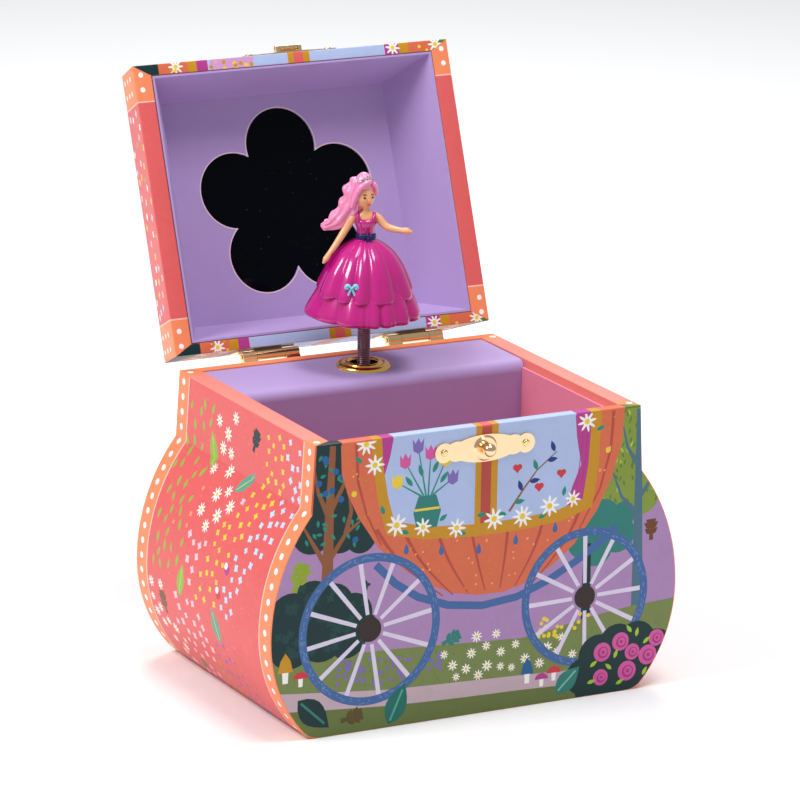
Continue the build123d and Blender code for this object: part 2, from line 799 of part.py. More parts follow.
spring_turns = 6
spring_pitch = 1.35
with BuildPart() as mainspring:
    with BuildSketch(rear_plane(spring_case_front + 1.2, 0, train_height)):
        with BuildLine() as coil_line:
            end = Vector(arbor_radius + 1.0, 0)
            for half_turn in range(2 * spring_turns):
                side = -1 if half_turn % 2 == 0 else 1
                span = 2 * abs(end.X) + spring_pitch / 2
                arc_end = Vector(end.X + side * span, 0)
                ThreePointArc(end, ((end.X + arc_end.X) / 2, -side * span / 2), arc_end)
                end = arc_end
        trace(coil_line.line, line_width=0.3)
    extrude(amount=back_plate_y - spring_case_front - 1.6)
keep(mainspring, "mainspring")

with BuildPart() as great_wheel:
    with BuildSketch(rear_plane(great_front_y, 0, train_height)):
        add(gear_outline(great_teeth, module_train))
        Circle(arbor_radius, mode=Mode.SUBTRACT)
    extrude(amount=wheel_thickness)
    face_tooth_height = crown_root + crown_tip
    pitch = 2 * pi * face_radius / face_teeth
    root_width = pitch * 0.5
    crown_taper = 18
    with BuildSketch(rear_plane(great_front_y, 0, train_height)):
        with PolarLocations(face_radius, face_teeth, start_angle=90 + 180 / face_teeth):
            Rectangle(2.4, root_width)
    extrude(amount=-face_tooth_height, taper=crown_taper)
keep(great_wheel, "great_wheel")

key_y = depth_half + key_clearance
with BuildPart() as winding_arbor:
    with BuildSketch(rear_plane(front_plate_y + 0.2, 0, train_height)):
        Circle(pivot_radius)
    extrude(amount=plate_wall - 0.1)
    with BuildSketch(rear_plane(front_plate_back + 0.1, 0, train_height)):
        Circle(arbor_radius)
    extrude(amount=key_y + 3.0 - front_plate_back - 0.1)
keep(winding_arbor, "winding_arbor")

key_wing = 8.5
with BuildPart() as winding_key:
    with BuildSketch(rear_plane(depth_half + 1.5, 0, train_height)):
        Circle(arbor_radius + 1.4)
    extrude(amount=key_y + 3.0 - depth_half - 1.5)
    with BuildSketch(Plane(origin=(0, key_y + 6.5, train_height - 1.0))):
        with Locations((-key_wing / 2 - 0.6, 0), (key_wing / 2 + 0.6, 0)):
            Ellipse(key_wing / 2 + 0.8, 5.0)
        with Locations((-key_wing / 2 - 1.0, 0), (key_wing / 2 + 1.0, 0)):
            Circle(1.9, mode=Mode.SUBTRACT)
        with Locations((0, -2.5)):
            Rectangle(2 * arbor_radius + 2.8, 5.0)
    extrude(amount=2.0)
    with BuildSketch(rear_plane(depth_half + 1.5, 0, train_height)):
        Circle(arbor_radius)
    extrude(amount=key_y + 3.0 - depth_half - 1.5, mode=Mode.SUBTRACT)
keep(winding_key, "winding_key")

# ---------------------------------------------------------------- movement: cylinder, comb and governor
wheel_front_y = front_plate_back + 0.4
drum_front_y = wheel_front_y + wheel_thickness + 0.4
drum_back_y = great_front_y - crown_root - crown_tip - 0.9
cylinder_length = drum_back_y - drum_front_y


def mesh_turn(direction, driver_teeth, driven_teeth):
    """Turn of a driven gear whose gap meets its driver's tooth; direction is from +X towards +Z."""
    along = 180 - direction
    steps = (along - 90) / (360 / driver_teeth)
    return (along + 90 + (steps + 0.5) * 360 / driven_teeth) % (360 / driven_teeth)


pin_rows = 18
pin_columns = 6
with BuildPart() as pin_cylinder:
    with BuildSketch(rear_plane(drum_front_y, cylinder_x, train_height)):
        Circle(cylinder_radius)
        Circle(pivot_radius + 0.6, mode=Mode.SUBTRACT)
    extrude(amount=cylinder_length)
    for row in range(pin_rows):
        for column in range(pin_columns):
            angle = 360 * (row + 0.37 * column) / pin_rows
            if (row * 5 + column * 7) % 4 == 0:
                continue
            y = drum_front_y + 1.3 + column * (cylinder_length - 2.6) / (pin_columns - 1)
            out = Vector(cos(radians(angle)), 0, sin(radians(angle)))
            place = Vector(cylinder_x, y, train_height) + out * (cylinder_radius - 0.4)
            with BuildSketch(Plane(origin=place, z_dir=out)):
                Circle(0.28)
            extrude(amount=0.4 + pin_height)
keep(pin_cylinder, "pin_cylinder")

pinion_turn = mesh_turn(0, great_teeth, cylinder_pinion_teeth)

with BuildPart() as cylinder_arbor:
    with BuildSketch(rear_plane(front_plate_y + 0.2, cylinder_x, train_height)):
        Circle(pivot_radius)
    extrude(amount=inner_depth - 0.2 - front_plate_y - 0.2)
    with BuildSketch(rear_plane(wheel_front_y, cylinder_x, train_height)):
        Circle(pivot_radius + 0.6)
    extrude(amount=great_back_y + 1.0 - wheel_front_y)
    with BuildSketch(rear_plane(great_front_y, cylinder_x, train_height)):
        add(gear_outline(cylinder_pinion_teeth, module_train, turn=pinion_turn))
    extrude(amount=wheel_thickness)
keep(cylinder_arbor, "cylinder_arbor")

with BuildPart() as cylinder_wheel:
    with BuildSketch(rear_plane(wheel_front_y, cylinder_x, train_height)):
        add(gear_outline(cylinder_wheel_teeth, module_governor))
        Circle(pivot_radius + 0.6, mode=Mode.SUBTRACT)
    extrude(amount=wheel_thickness)
keep(cylinder_wheel, "cylinder_wheel")

comb_tip_gap = 0.3
comb_tip_x = cylinder_x + cylinder_radius + pin_height + comb_tip_gap
comb_root_x = comb_tip_x + 6.0
comb_back_x = comb_root_x + 6.0
comb_wall = 1.0
reed_pitch = cylinder_length / comb_reeds
comb_middle_y = drum_front_y + cylinder_length / 2

with BuildPart() as comb:
    with BuildSketch(Plane(origin=(0, comb_middle_y, train_height - comb_wall / 2))):
        with Locations(((comb_root_x + comb_back_x) / 2, 0)):
            Rectangle(comb_back_x - comb_root_x, cylinder_length)
        with Locations(((comb_tip_x + comb_root_x) / 2, 0)):
            with GridLocations(0, reed_pitch, 1, comb_reeds):
                Rectangle(comb_root_x - comb_tip_x + 0.1, reed_pitch * 0.7)
        with Locations(((comb_root_x + comb_back_x) / 2, 0)):
            with GridLocations(0, cylinder_length * 0.6, 1, 2):
                Circle(screw_radius * 0.8, mode=Mode.SUBTRACT)
    extrude(amount=comb_wall)
keep(comb, "comb")

comb_block_height = 4.0
with BuildPart() as comb_block:
    with BuildSketch(Plane(origin=(0, 0, train_height - comb_wall / 2 - comb_block_height))):
        with Locations(((comb_root_x + comb_back_x) / 2 + 0.6, (front_plate_back + back_plate_y) / 2)):
            Rectangle(comb_back_x - comb_root_x - 1.2, back_plate_y - front_plate_back)
        with Locations(((comb_root_x + comb_back_x) / 2, comb_middle_y)):
            with GridLocations(0, cylinder_length * 0.6, 1, 2):
                Circle(screw_radius * 0.8, mode=Mode.SUBTRACT)
    extrude(amount=comb_block_height)
keep(comb_block, "comb_block")

with BuildPart() as comb_screws:
    for offset in (-0.3, 0.3):
        place = ((comb_root_x + comb_back_x) / 2, comb_middle_y + offset * cylinder_length)
        with BuildSketch(Plane(origin=(*place, train_height - comb_block_height))):
            Circle(screw_radius * 0.8)
        extrude(amount=comb_block_height + comb_wall / 2)
        with BuildSketch(Plane(origin=(*place, train_height + comb_wall / 2))):
            Circle(screw_head_radius * 0.8)
        extrude(amount=1.0)
keep(comb_screws, "comb_screws")

fan_turn = mesh_turn(governor_angle, cylinder_wheel_teeth, fan_pinion_teeth)
fan_front_y = wheel_front_y + wheel_thickness + 2.0
fan_length = 9.0
fan_radius = 7.6

with BuildPart() as fan_pinion:
    with BuildSketch(rear_plane(front_plate_y + 0.2, fan_x, fan_z)):
        Circle(pivot_radius)
    extrude(amount=inner_depth - 0.4 - front_plate_y)
    with BuildSketch(rear_plane(wheel_front_y - 0.2, fan_x, fan_z)):
        add(gear_outline(fan_pinion_teeth, module_governor, turn=fan_turn))
    extrude(amount=wheel_thickness + 0.4)
keep(fan_pinion, "fan_pinion")

with BuildPart() as governor_fan:
    with BuildSketch(rear_plane(fan_front_y, fan_x, fan_z)):
        Circle(pivot_radius + 1.0)
        Rectangle(2 * fan_radius, 0.7)
        Circle(pivot_radius, mode=Mode.SUBTRACT)
    extrude(amount=fan_length)
keep(governor_fan, "governor_fan")

# ---------------------------------------------------------------- movement: spindle
spindle_radius = coil_bore - running_fit
pinion_z = train_height + face_radius
pinion_thickness = 2.0
foot_top = pinion_z - pinion_thickness / 2 - 3.0
foot_wall = 2.0
shaft_top = platform_top - fold_depth - 1.0
bridge_z = train_height + plate_top

with BuildPart() as spindle_foot:
    with BuildSketch(Plane(origin=(0, 0, foot_top - foot_wall))):
        with Locations((0, (front_plate_back + spindle_y) / 2)):
            Rectangle(7.0, spindle_y - front_plate_back)
        with Locations((0, spindle_y)):
            Circle(3.5)
            Circle(pivot_bore, mode=Mode.SUBTRACT)
    extrude(amount=foot_wall)
keep(spindle_foot, "spindle_foot")

with BuildPart() as spindle_bridge:
    with BuildSketch(Plane(origin=(0, 0, bridge_z))):
        with Locations((0, (front_plate_y + inner_depth) / 2)):
            RectangleRounded(12.0, inner_depth - front_plate_y, 1.5)
        with Locations((0, spindle_y)):
            Circle(spindle_radius + running_fit, mode=Mode.SUBTRACT)
    extrude(amount=foot_wall)
keep(spindle_bridge, "spindle_bridge")

with BuildPart() as spindle_shaft:
    with BuildSketch(Plane(origin=(0, spindle_y, foot_top - foot_wall - 0.5))):
        Circle(pivot_radius)
    extrude(amount=foot_wall + 1.0)
    with BuildSketch(Plane(origin=(0, spindle_y, foot_top + 0.2))):
        Circle(spindle_radius)
    extrude(amount=shaft_top - foot_top - 0.2)
keep(spindle_shaft, "spindle_shaft")

with BuildPart() as spindle_pinion:
    with BuildSketch(Plane(origin=(0, spindle_y, pinion_z - pinion_thickness / 2))):
        add(gear_outline(spindle_pinion_teeth, 2 * face_radius / face_teeth, 0.45))
        Circle(spindle_radius, mode=Mode.SUBTRACT)
    extrude(amount=pinion_thickness)
keep(spindle_pinion, "spindle_pinion")

# ---------------------------------------------------------------- doll: spring mount
spigot_low = coil_above - 4.5
spigot_high = coil_above + 4.0

with BuildPart() as coil_spring:
    with BuildSketch(doll_plane(-coil_below)):
        Circle(coil_radius)
        Circle(coil_bore, mode=Mode.SUBTRACT)
    extrude(amount=coil_below + coil_above)
keep(coil_spring, "coil_spring")

with BuildPart() as spring_spigot:
    with BuildSketch(doll_plane(spigot_low)):
        Circle(coil_bore)
    extrude(amount=spigot_high - spigot_low)
keep(spring_spigot, "spring_spigot")

stem_radius = 3.2
stem_low = coil_above + 0.3
stem_high = waist_height - 1.4
with BuildPart() as doll_stem:
    with BuildSketch(doll_plane(stem_low)):
        Circle(stem_radius)
    extrude(amount=stem_high - stem_low)
    with BuildSketch(doll_plane(stem_low)):
        Circle(coil_bore + running_fit)
    extrude(amount=spigot_high - stem_low + 0.3, mode=Mode.SUBTRACT)
keep(doll_stem, "doll_stem")


# ---------------------------------------------------------------- doll: skirt and body
def turn_shell(outer, wall):
    """Thin bell turned about the doll's axis; it grips the stem and follows (radius, height) points."""
    grip = outer[0][1]
    with BuildPart() as shell:
        with BuildSketch(doll_upright):
            with BuildLine():
                outside = Spline((stem_radius, grip), *outer)
                inner = [(r - wall * 0.6, h - wall) for r, h in outer]
                inside = Spline((stem_radius, grip - wall), *inner)
                Line(outside @ 0, inside @ 0)
                Line(outside @ 1, inside @ 1)
            make_face()
        revolve(axis=doll_axis)
    return shell


doll_axis = Axis((0, spindle_y, 0), (0, 0, 1))
doll_upright = Plane(origin=(0, spindle_y, platform_top), x_dir=(1, 0, 0), z_dir=(0, -1, 0))
upper_bell = [
    (stem_radius + 2.5, waist_height - 1.9),
    (11.0, waist_height - 5.2),
    (15.6, (waist_height + upper_hem_height) / 2 - 1.0),
    (upper_hem_radius, upper_hem_height + shell_wall),
]
lower_bell = [
    (stem_radius + 3.0, upper_hem_height + 4.6),
    (11.0, upper_hem_height + 3.6),
    (16.6, upper_hem_height - 2.0),
    (hem_radius, hem_height + shell_wall),
]
skirt_upper_tier = turn_shell(upper_bell, shell_wall)
keep(skirt_upper_tier, "skirt_upper_tier")
keep(turn_shell(lower_bell, shell_wall), "skirt_lower_tier")

belt_height = 2.6
with BuildPart() as waist_belt:
    with BuildSketch(doll_plane(waist_height - 1.4)):
        Circle(waist_radius + 0.5)
    extrude(amount=belt_height)
keep(waist_belt, "waist_belt")

belt_top = waist_height - 1.4 + belt_height
bodice_top = shoulder_height - 1.2
neck_radius = 1.25
neck_foot = shoulder_height + 0.9
head_radius = 3.7
head_half_height = 4.4
head_flat = -head_half_height + 0.2

with BuildPart() as torso:
    with BuildSketch(doll_plane(belt_top)):
        Ellipse(waist_radius, waist_radius * 0.82)
    with BuildSketch(doll_plane(bodice_top)):
        Ellipse(waist_radius + 0.5, waist_radius * 0.8)
    loft()
    with BuildSketch(doll_plane(bodice_top)) as shoulders:
        Ellipse(waist_radius, waist_radius * 0.6)
    with BuildSketch(doll_plane(neck_foot)) as collar:
        Ellipse(neck_radius + 0.3, neck_radius)
    loft([shoulders.sketch, collar.sketch])
    with BuildSketch(doll_plane(neck_foot)) as throat:
        Circle(neck_radius)
    extrude(throat.sketch, amount=head_height + head_flat - neck_foot)
keep(torso, "torso")


def turn_egg(radius, half_height, bottom=None):
    """Half section of an egg about the local Y axis, cut off flat at the bottom if asked."""
    with BuildSketch() as egg:
        Ellipse(half_height, radius, rotation=90)
        with Locations((-radius, 0)):
            Rectangle(2 * radius, 3 * half_height, mode=Mode.SUBTRACT)
        if bottom is not None:
            with Locations((0, bottom - half_height)):
                Rectangle(3 * radius, 2 * half_height, mode=Mode.SUBTRACT)
    return egg.sketch


head_upright = doll_upright.offset(0)
head_upright.origin = (0, spindle_y, platform_top + head_height)
with BuildPart() as head:
    with BuildSketch(head_upright):
        add(turn_egg(head_radius, head_half_height, head_flat))
    revolve(axis=doll_axis)
keep(head, "head")

hair_back = 1.6             # hair's middle behind the head's
face_plane_y = -1.2         # hair starts this far in front of the head's middle
hair_radius = 5.4
hair_axis = Axis((0, spindle_y + hair_back, 0), (0, 0, 1))
with BuildPart() as hair:
    with BuildSketch(head_upright.offset(-hair_back)):
        add(turn_egg(hair_radius, crown_height - head_height))
    revolve(axis=hair_axis)
    with BuildSketch(head_upright):
        add(turn_egg(head_radius, head_half_height))
    revolve(axis=doll_axis, mode=Mode.SUBTRACT)
    with BuildSketch(doll_plane(shoulder_height - 4, y=face_plane_y - 10)):
        Rectangle(30, 20)
    extrude(amount=crown_height - shoulder_height, mode=Mode.SUBTRACT)
    with BuildSketch(doll_plane(shoulder_height - 4)):
        Circle(neck_radius + 2.6)
    extrude(amount=head_height - head_half_height - shoulder_height + 4.3, mode=Mode.SUBTRACT)
keep(hair, "hair")

tiara_radius = 3.6
with BuildPart() as tiara:
    with BuildSketch(doll_plane(crown_height - 3.2, y=hair_back)):
        Circle(tiara_radius)
        Circle(tiara_radius - 0.8, mode=Mode.SUBTRACT)
        with Locations((0, 10)):
            Rectangle(20, 20, mode=Mode.SUBTRACT)
    extrude(amount=3.2)
    with BuildSketch(head_upright.offset(-hair_back)):
        add(turn_egg(hair_radius, crown_height - head_height))
    revolve(axis=hair_axis, mode=Mode.SUBTRACT)
keep(tiara, "tiara")


def build_arm(points, bends):
    """A slim arm from the shoulder along a rounded line of (x, y, height) points."""
    with BuildPart() as arm:
        with BuildLine():
            line = [(x, spindle_y + y, platform_top + height) for x, y, height in points]
            path = FilletPolyline(*line, radius=bends)
        with BuildSketch(Plane(origin=path @ 0, z_dir=path % 0)):
            Circle(arm_radius)
        sweep()
        add(torso.part, mode=Mode.SUBTRACT)
    return arm


arm_radius = 0.95
left_arm_points = [(-2.9, 0, shoulder_height - 2.5), (-10.5, -1.2, 49.5), (-14.6, -5.2, 40.5)]
right_arm_points = [(2.9, 0, shoulder_height - 2.5), (9.4, -0.8, 51.8), (16.2, -3.0, 51.2)]
keep(build_arm(left_arm_points, 3.0), "left_arm")
keep(build_arm(right_arm_points, 3.0), "right_arm")

waist_bow_plane = Plane(
    origin=(0, spindle_y - waist_radius, platform_top + waist_height), x_dir=(1, 0, 0), z_dir=(0, -1, 0)
)
skirt_bow_height = 31.7
skirt_bow_radius = 17.45
skirt_bow_out = Vector(-sin(radians(16)), -cos(radians(16)), 0)
skirt_bow_plane = Plane(
    origin=Vector(0, spindle_y, platform_top + skirt_bow_height) + skirt_bow_out * skirt_bow_radius,
    x_dir=Vector(0, 0, 1).cross(skirt_bow_out),
    z_dir=skirt_bow_out,
)

with BuildPart() as dress_bows:
    for plane, wing, proud in ((waist_bow_plane, 1.5, 1.4), (skirt_bow_plane, 1.3, 1.3)):
        with BuildSketch(plane):
            Circle(wing / 2)
            with Locations((-wing, 0.2), (wing, 0.2)):
                Ellipse(wing * 0.95, wing * 0.65)
        extrude(amount=proud)
    add(waist_belt.part, mode=Mode.SUBTRACT)
    add(skirt_upper_tier.part, mode=Mode.SUBTRACT)
keep(dress_bows, "dress_bows")
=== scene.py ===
import functools
import json
import math
import random

import bpy
from bpy.props import FloatProperty, IntProperty, PointerProperty
from mathutils import Matrix, Vector
from mathutils.geometry import delaunay_2d_cdt


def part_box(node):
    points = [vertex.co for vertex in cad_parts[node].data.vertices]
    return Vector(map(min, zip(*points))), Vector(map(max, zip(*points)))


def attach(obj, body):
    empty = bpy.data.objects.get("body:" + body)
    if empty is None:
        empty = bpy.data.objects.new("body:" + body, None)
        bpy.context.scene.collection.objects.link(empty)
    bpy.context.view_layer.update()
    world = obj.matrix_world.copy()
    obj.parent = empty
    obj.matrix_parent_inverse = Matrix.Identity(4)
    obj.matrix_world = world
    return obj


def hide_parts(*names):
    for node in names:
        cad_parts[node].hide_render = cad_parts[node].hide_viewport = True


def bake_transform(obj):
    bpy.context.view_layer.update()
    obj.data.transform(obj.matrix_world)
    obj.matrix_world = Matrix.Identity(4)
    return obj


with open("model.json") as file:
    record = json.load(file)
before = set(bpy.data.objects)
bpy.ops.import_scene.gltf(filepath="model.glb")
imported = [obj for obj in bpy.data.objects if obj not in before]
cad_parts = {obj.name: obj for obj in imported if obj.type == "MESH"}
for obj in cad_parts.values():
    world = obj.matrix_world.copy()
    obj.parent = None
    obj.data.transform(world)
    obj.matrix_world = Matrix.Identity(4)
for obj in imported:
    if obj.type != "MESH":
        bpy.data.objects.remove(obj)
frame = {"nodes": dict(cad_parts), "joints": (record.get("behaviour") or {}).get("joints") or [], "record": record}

bl_info = {
    "name": "Musical Jewellery Box",
    "version": (1, 0, 0),
    "blender": (4, 5, 0),
    "location": "View3D > Sidebar > Jewellery Box",
    "description": "Dresses the jewellery box: printed paper, linings, fittings, spring and doll",
    "category": "Object",
}

MM = 0.001
NECK_WALL = 6.8         # thickness of the side boards at the neck
PANEL_WALL = 3.9        # and of the front and back panels
RIM_TURN = 3.2          # the paper turns this far down inside the rim
LID_TURN = 3.0          # and this far up inside the lid
LID_PAPER = 0.1         # paper stands this far off the lid
LID_BEND = 0.3          # radius of its bends

# ---------------------------------------------------------------- colours, as red, green, blue
LILAC = "AB86B6"
OLIVE = "77854A"
DEEP_OLIVE = "66743B"
PATH = "C3AAB4"
DARK_TEAL = "082F30"
TEAL = "1C8A76"
SEA = "2C7D74"
BARK = "8E5531"
SLATE = "4C7082"
MOSS = "82983A"
MOSS_DARK = "5F7A2E"
ORANGE = "D96C49"
RIB = "B84A3E"
OCHRE = "C98F1A"
SKY = "AFC0E6"
MAGENTA = "B63A8C"
BLUE = "42669F"
BLUE_LIGHT = "6588B8"
SPOKE = "DCD2E8"
HUB = "32241F"
WHITE = "F7F4F0"
YELLOW = "EBCB3A"
ROSE = "D4579F"
ROSE_DEEP = "A8347C"
LIME = "A3C531"
RED = "CE3640"
VIOLET = "8069B4"
CORAL = "E0605F"
CORAL_DEEP = "D95560"
BAND = "F58B5E"
PALE_LINE = "FBC4B2"
PINK = "F4C3CC"
BABY_BLUE = "B8D9F2"
LEAF_GREEN = "8DB63C"
SAGE = "5DA08A"
BROWN = "7C4E2C"


def linear(code):
    """Colour code to linear red, green, blue and alpha."""
    parts = [int(code[i : i + 2], 16) / 255 for i in (0, 2, 4)]
    return tuple(c / 12.92 if c <= 0.04045 else ((c + 0.055) / 1.055) ** 2.4 for c in parts) + (1.0,)


# ---------------------------------------------------------------- meshes
def new_object(name, points, faces, smooth=True):
    """A mesh object at the origin from points in millimetres, in the row frame."""
    mesh = bpy.data.meshes.new(name)
    mesh.from_pydata([Vector(p) * MM for p in points], [], faces)
    mesh.validate()
    mesh.polygons.foreach_set("use_smooth", [smooth] * len(mesh.polygons))
    mesh.update()
    piece = bpy.data.objects.new(name, mesh)
    bpy.context.scene.collection.objects.link(piece)
    return piece


def join(name, pieces):
    """Joins objects into the first one and names it."""
    bpy.ops.object.select_all(action="DESELECT")
    for piece in pieces:
        piece.select_set(True)
    bpy.context.view_layer.objects.active = pieces[0]
    bpy.ops.object.join()
    pieces[0].name = name
    pieces[0].data.name = name
    return pieces[0]


def settle(piece):
    """Applies an object's place, turn and size, so that it stands at the origin."""
    bpy.ops.object.select_all(action="DESELECT")
    piece.select_set(True)
    bpy.context.view_layer.objects.active = piece
    bpy.ops.object.transform_apply(location=True, rotation=True, scale=True)
    return piece


def face_outwards(piece):
    """Recalculates a closed piece's normals to point outwards."""
    bpy.ops.object.select_all(action="DESELECT")
    piece.select_set(True)
    bpy.context.view_layer.objects.active = piece
    bpy.ops.object.mode_set(mode="EDIT")
    bpy.ops.mesh.select_all(action="SELECT")
    bpy.ops.mesh.normals_make_consistent(inside=False)
    bpy.ops.object.mode_set(mode="OBJECT")
    return piece


def loft(name, rings, closed_ends=True):
    """Skin over rings of points that have the same count each."""
    count = len(rings[0])
    points = [p for ring in rings for p in ring]
    faces = []
    for i in range(len(rings) - 1):
        for j in range(count):
            k = (j + 1) % count
            faces.append((i * count + j, i * count + k, (i + 1) * count + k, (i + 1) * count + j))
    if closed_ends:
        for ring, start in ((rings[0], 0), (rings[-1], (len(rings) - 1) * count)):
            middle = sum((Vector(p) for p in ring), Vector()) / count
            points.append(tuple(middle))
            for j in range(count):
                faces.append((start + j, start + (j + 1) % count, len(points) - 1))
    return face_outwards(new_object(name, points, faces))


def tube(name, line, radii, sides=20, flatten=1.0):
    """Tube along a smoothed line with a radius at each of its points."""
    fine = []
    for i in range(len(line) - 1):
        before, a, b, after = (
            Vector(line[max(i - 1, 0)]),
            Vector(line[i]),
            Vector(line[i + 1]),
            Vector(line[min(i + 2, len(line) - 1)]),
        )
        for step in range(8):
            t = step / 8
            place = 0.5 * (
                2 * a + (b - before) * t + (2 * before - 5 * a + 4 * b - after) * t * t
                + (3 * a - before - 3 * b + after) * t**3
            )
            fine.append((place, radii[i] + (radii[i + 1] - radii[i]) * (3 * t * t - 2 * t**3)))
    fine.append((Vector(line[-1]), radii[-1]))
    rings = []
    side = Vector((0, 0, 1))
    for i, (place, radius) in enumerate(fine):
        ahead = fine[min(i + 1, len(fine) - 1)][0] - fine[max(i - 1, 0)][0]
        ahead.normalize()
        side = (side - ahead * side.dot(ahead)).normalized() if abs(side.dot(ahead)) < 0.999 else side
        other = ahead.cross(side).normalized()
        rings.append([
            tuple(place + side * radius * math.cos(2 * math.pi * j / sides)
                  + other * radius * flatten * math.sin(2 * math.pi * j / sides))
            for j in range(sides)
        ])
    return loft(name, rings)


def ball(name, centre, size, segments=32, rings=20):
    """Ellipsoid with half sizes in millimetres."""
    bpy.ops.object.select_all(action="DESELECT")
    bpy.ops.mesh.primitive_uv_sphere_add(segments=segments, ring_count=rings, radius=1.0)
    piece = bpy.context.active_object
    piece.name = name
    piece.data.name = name
    piece.scale = Vector(size) * MM
    piece.location = Vector(centre) * MM
    settle(piece)
    piece.data.polygons.foreach_set("use_smooth", [True] * len(piece.data.polygons))
    return piece


def dress(piece, material, body, slot, *nodes):
    """Gives a new piece its material and body and hides the CAD nodes that it stands for; the record slot is not
    used.
    """
    piece.data.materials.clear()
    piece.data.materials.append(material)
    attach(piece, body)
    if nodes:
        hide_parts(*nodes)
    return piece


# ---------------------------------------------------------------- materials
def node_group(name, inputs, outputs):
    """New shader node group with named sockets; returns the tree and its two end nodes."""
    group = bpy.data.node_groups.new(name, "ShaderNodeTree")
    for socket, kind, value in inputs:
        item = group.interface.new_socket(name=socket, in_out="INPUT", socket_type=kind)
        if value is not None:
            item.default_value = value
    for socket, kind in outputs:
        group.interface.new_socket(name=socket, in_out="OUTPUT", socket_type=kind)
    return group, group.nodes.new("NodeGroupInput"), group.nodes.new("NodeGroupOutput")


def grain_group():
    """Fine paper grain: varies a colour slightly and gives a bump normal, in object space."""
    if "paper_grain" in bpy.data.node_groups:
        return bpy.data.node_groups["paper_grain"]
    group, start, end = node_group(
        "paper_grain",
        [("Color", "NodeSocketColor", (0.5, 0.5, 0.5, 1)), ("Scale", "NodeSocketFloat", 900.0),
         ("Variation", "NodeSocketFloat", 0.08), ("Bump", "NodeSocketFloat", 0.1)],
        [("Color", "NodeSocketColor"), ("Normal", "NodeSocketVector")],
    )
    nodes, links = group.nodes, group.links
    place = nodes.new("ShaderNodeTexCoord")
    fine = nodes.new("ShaderNodeTexNoise")
    fine.inputs["Detail"].default_value = 4
    links.new(place.outputs["Object"], fine.inputs["Vector"])
    links.new(start.outputs["Scale"], fine.inputs["Scale"])
    broad = nodes.new("ShaderNodeTexNoise")
    broad.inputs["Scale"].default_value = 90
    broad.inputs["Detail"].default_value = 3
    links.new(place.outputs["Object"], broad.inputs["Vector"])
    both = nodes.new("ShaderNodeMath")
    both.operation = "ADD"
    links.new(fine.outputs["Fac"], both.inputs[0])
    links.new(broad.outputs["Fac"], both.inputs[1])
    centred = nodes.new("ShaderNodeMath")
    centred.operation = "SUBTRACT"
    centred.inputs[1].default_value = 1.0
    links.new(both.outputs[0], centred.inputs[0])
    scaled = nodes.new("ShaderNodeMath")
    scaled.operation = "MULTIPLY_ADD"
    scaled.inputs[2].default_value = 1.0
    links.new(centred.outputs[0], scaled.inputs[0])
    links.new(start.outputs["Variation"], scaled.inputs[1])
    tint = nodes.new("ShaderNodeHueSaturation")
    links.new(start.outputs["Color"], tint.inputs["Color"])
    links.new(scaled.outputs[0], tint.inputs["Value"])
    links.new(tint.outputs["Color"], end.inputs["Color"])
    bump = nodes.new("ShaderNodeBump")
    bump.inputs["Distance"].default_value = 0.0001
    links.new(start.outputs["Bump"], bump.inputs["Strength"])
    links.new(fine.outputs["Fac"], bump.inputs["Height"])
    links.new(bump.outputs["Normal"], end.inputs["Normal"])
    return group


def material(name, colour=None, metallic=0.0, roughness=0.5, coat=0.0, coat_roughness=0.1,
             attribute=None, grain=None, variation=0.08, bump=0.1, sheen=0.0, specular=0.5):
    """A Principled material, from a colour or from a mesh colour attribute, with optional paper grain."""
    if name in bpy.data.materials:
        return bpy.data.materials[name]
    made = bpy.data.materials.new(name)
    made.use_nodes = True
    nodes, links = made.node_tree.nodes, made.node_tree.links
    shader = nodes["Principled BSDF"]
    shader.inputs["Metallic"].default_value = metallic
    shader.inputs["Roughness"].default_value = roughness
    shader.inputs["Coat Weight"].default_value = coat
    shader.inputs["Coat Roughness"].default_value = coat_roughness
    shader.inputs["Sheen Weight"].default_value = sheen
    shader.inputs["Specular IOR Level"].default_value = specular
    if colour:
        shader.inputs["Base Color"].default_value = linear(colour)
    source = None
    if attribute:
        reader = nodes.new("ShaderNodeAttribute")
        reader.attribute_name = attribute
        source = reader.outputs["Color"]
        links.new(source, shader.inputs["Base Color"])
    if grain:
        group = nodes.new("ShaderNodeGroup")
        group.node_tree = grain_group()
        group.inputs["Scale"].default_value = grain
        group.inputs["Variation"].default_value = variation
        group.inputs["Bump"].default_value = bump
        if source:
            links.new(source, group.inputs["Color"])
        else:
            group.inputs["Color"].default_value = linear(colour)
        links.new(group.outputs["Color"], shader.inputs["Base Color"])
        links.new(group.outputs["Normal"], shader.inputs["Normal"])
    return made


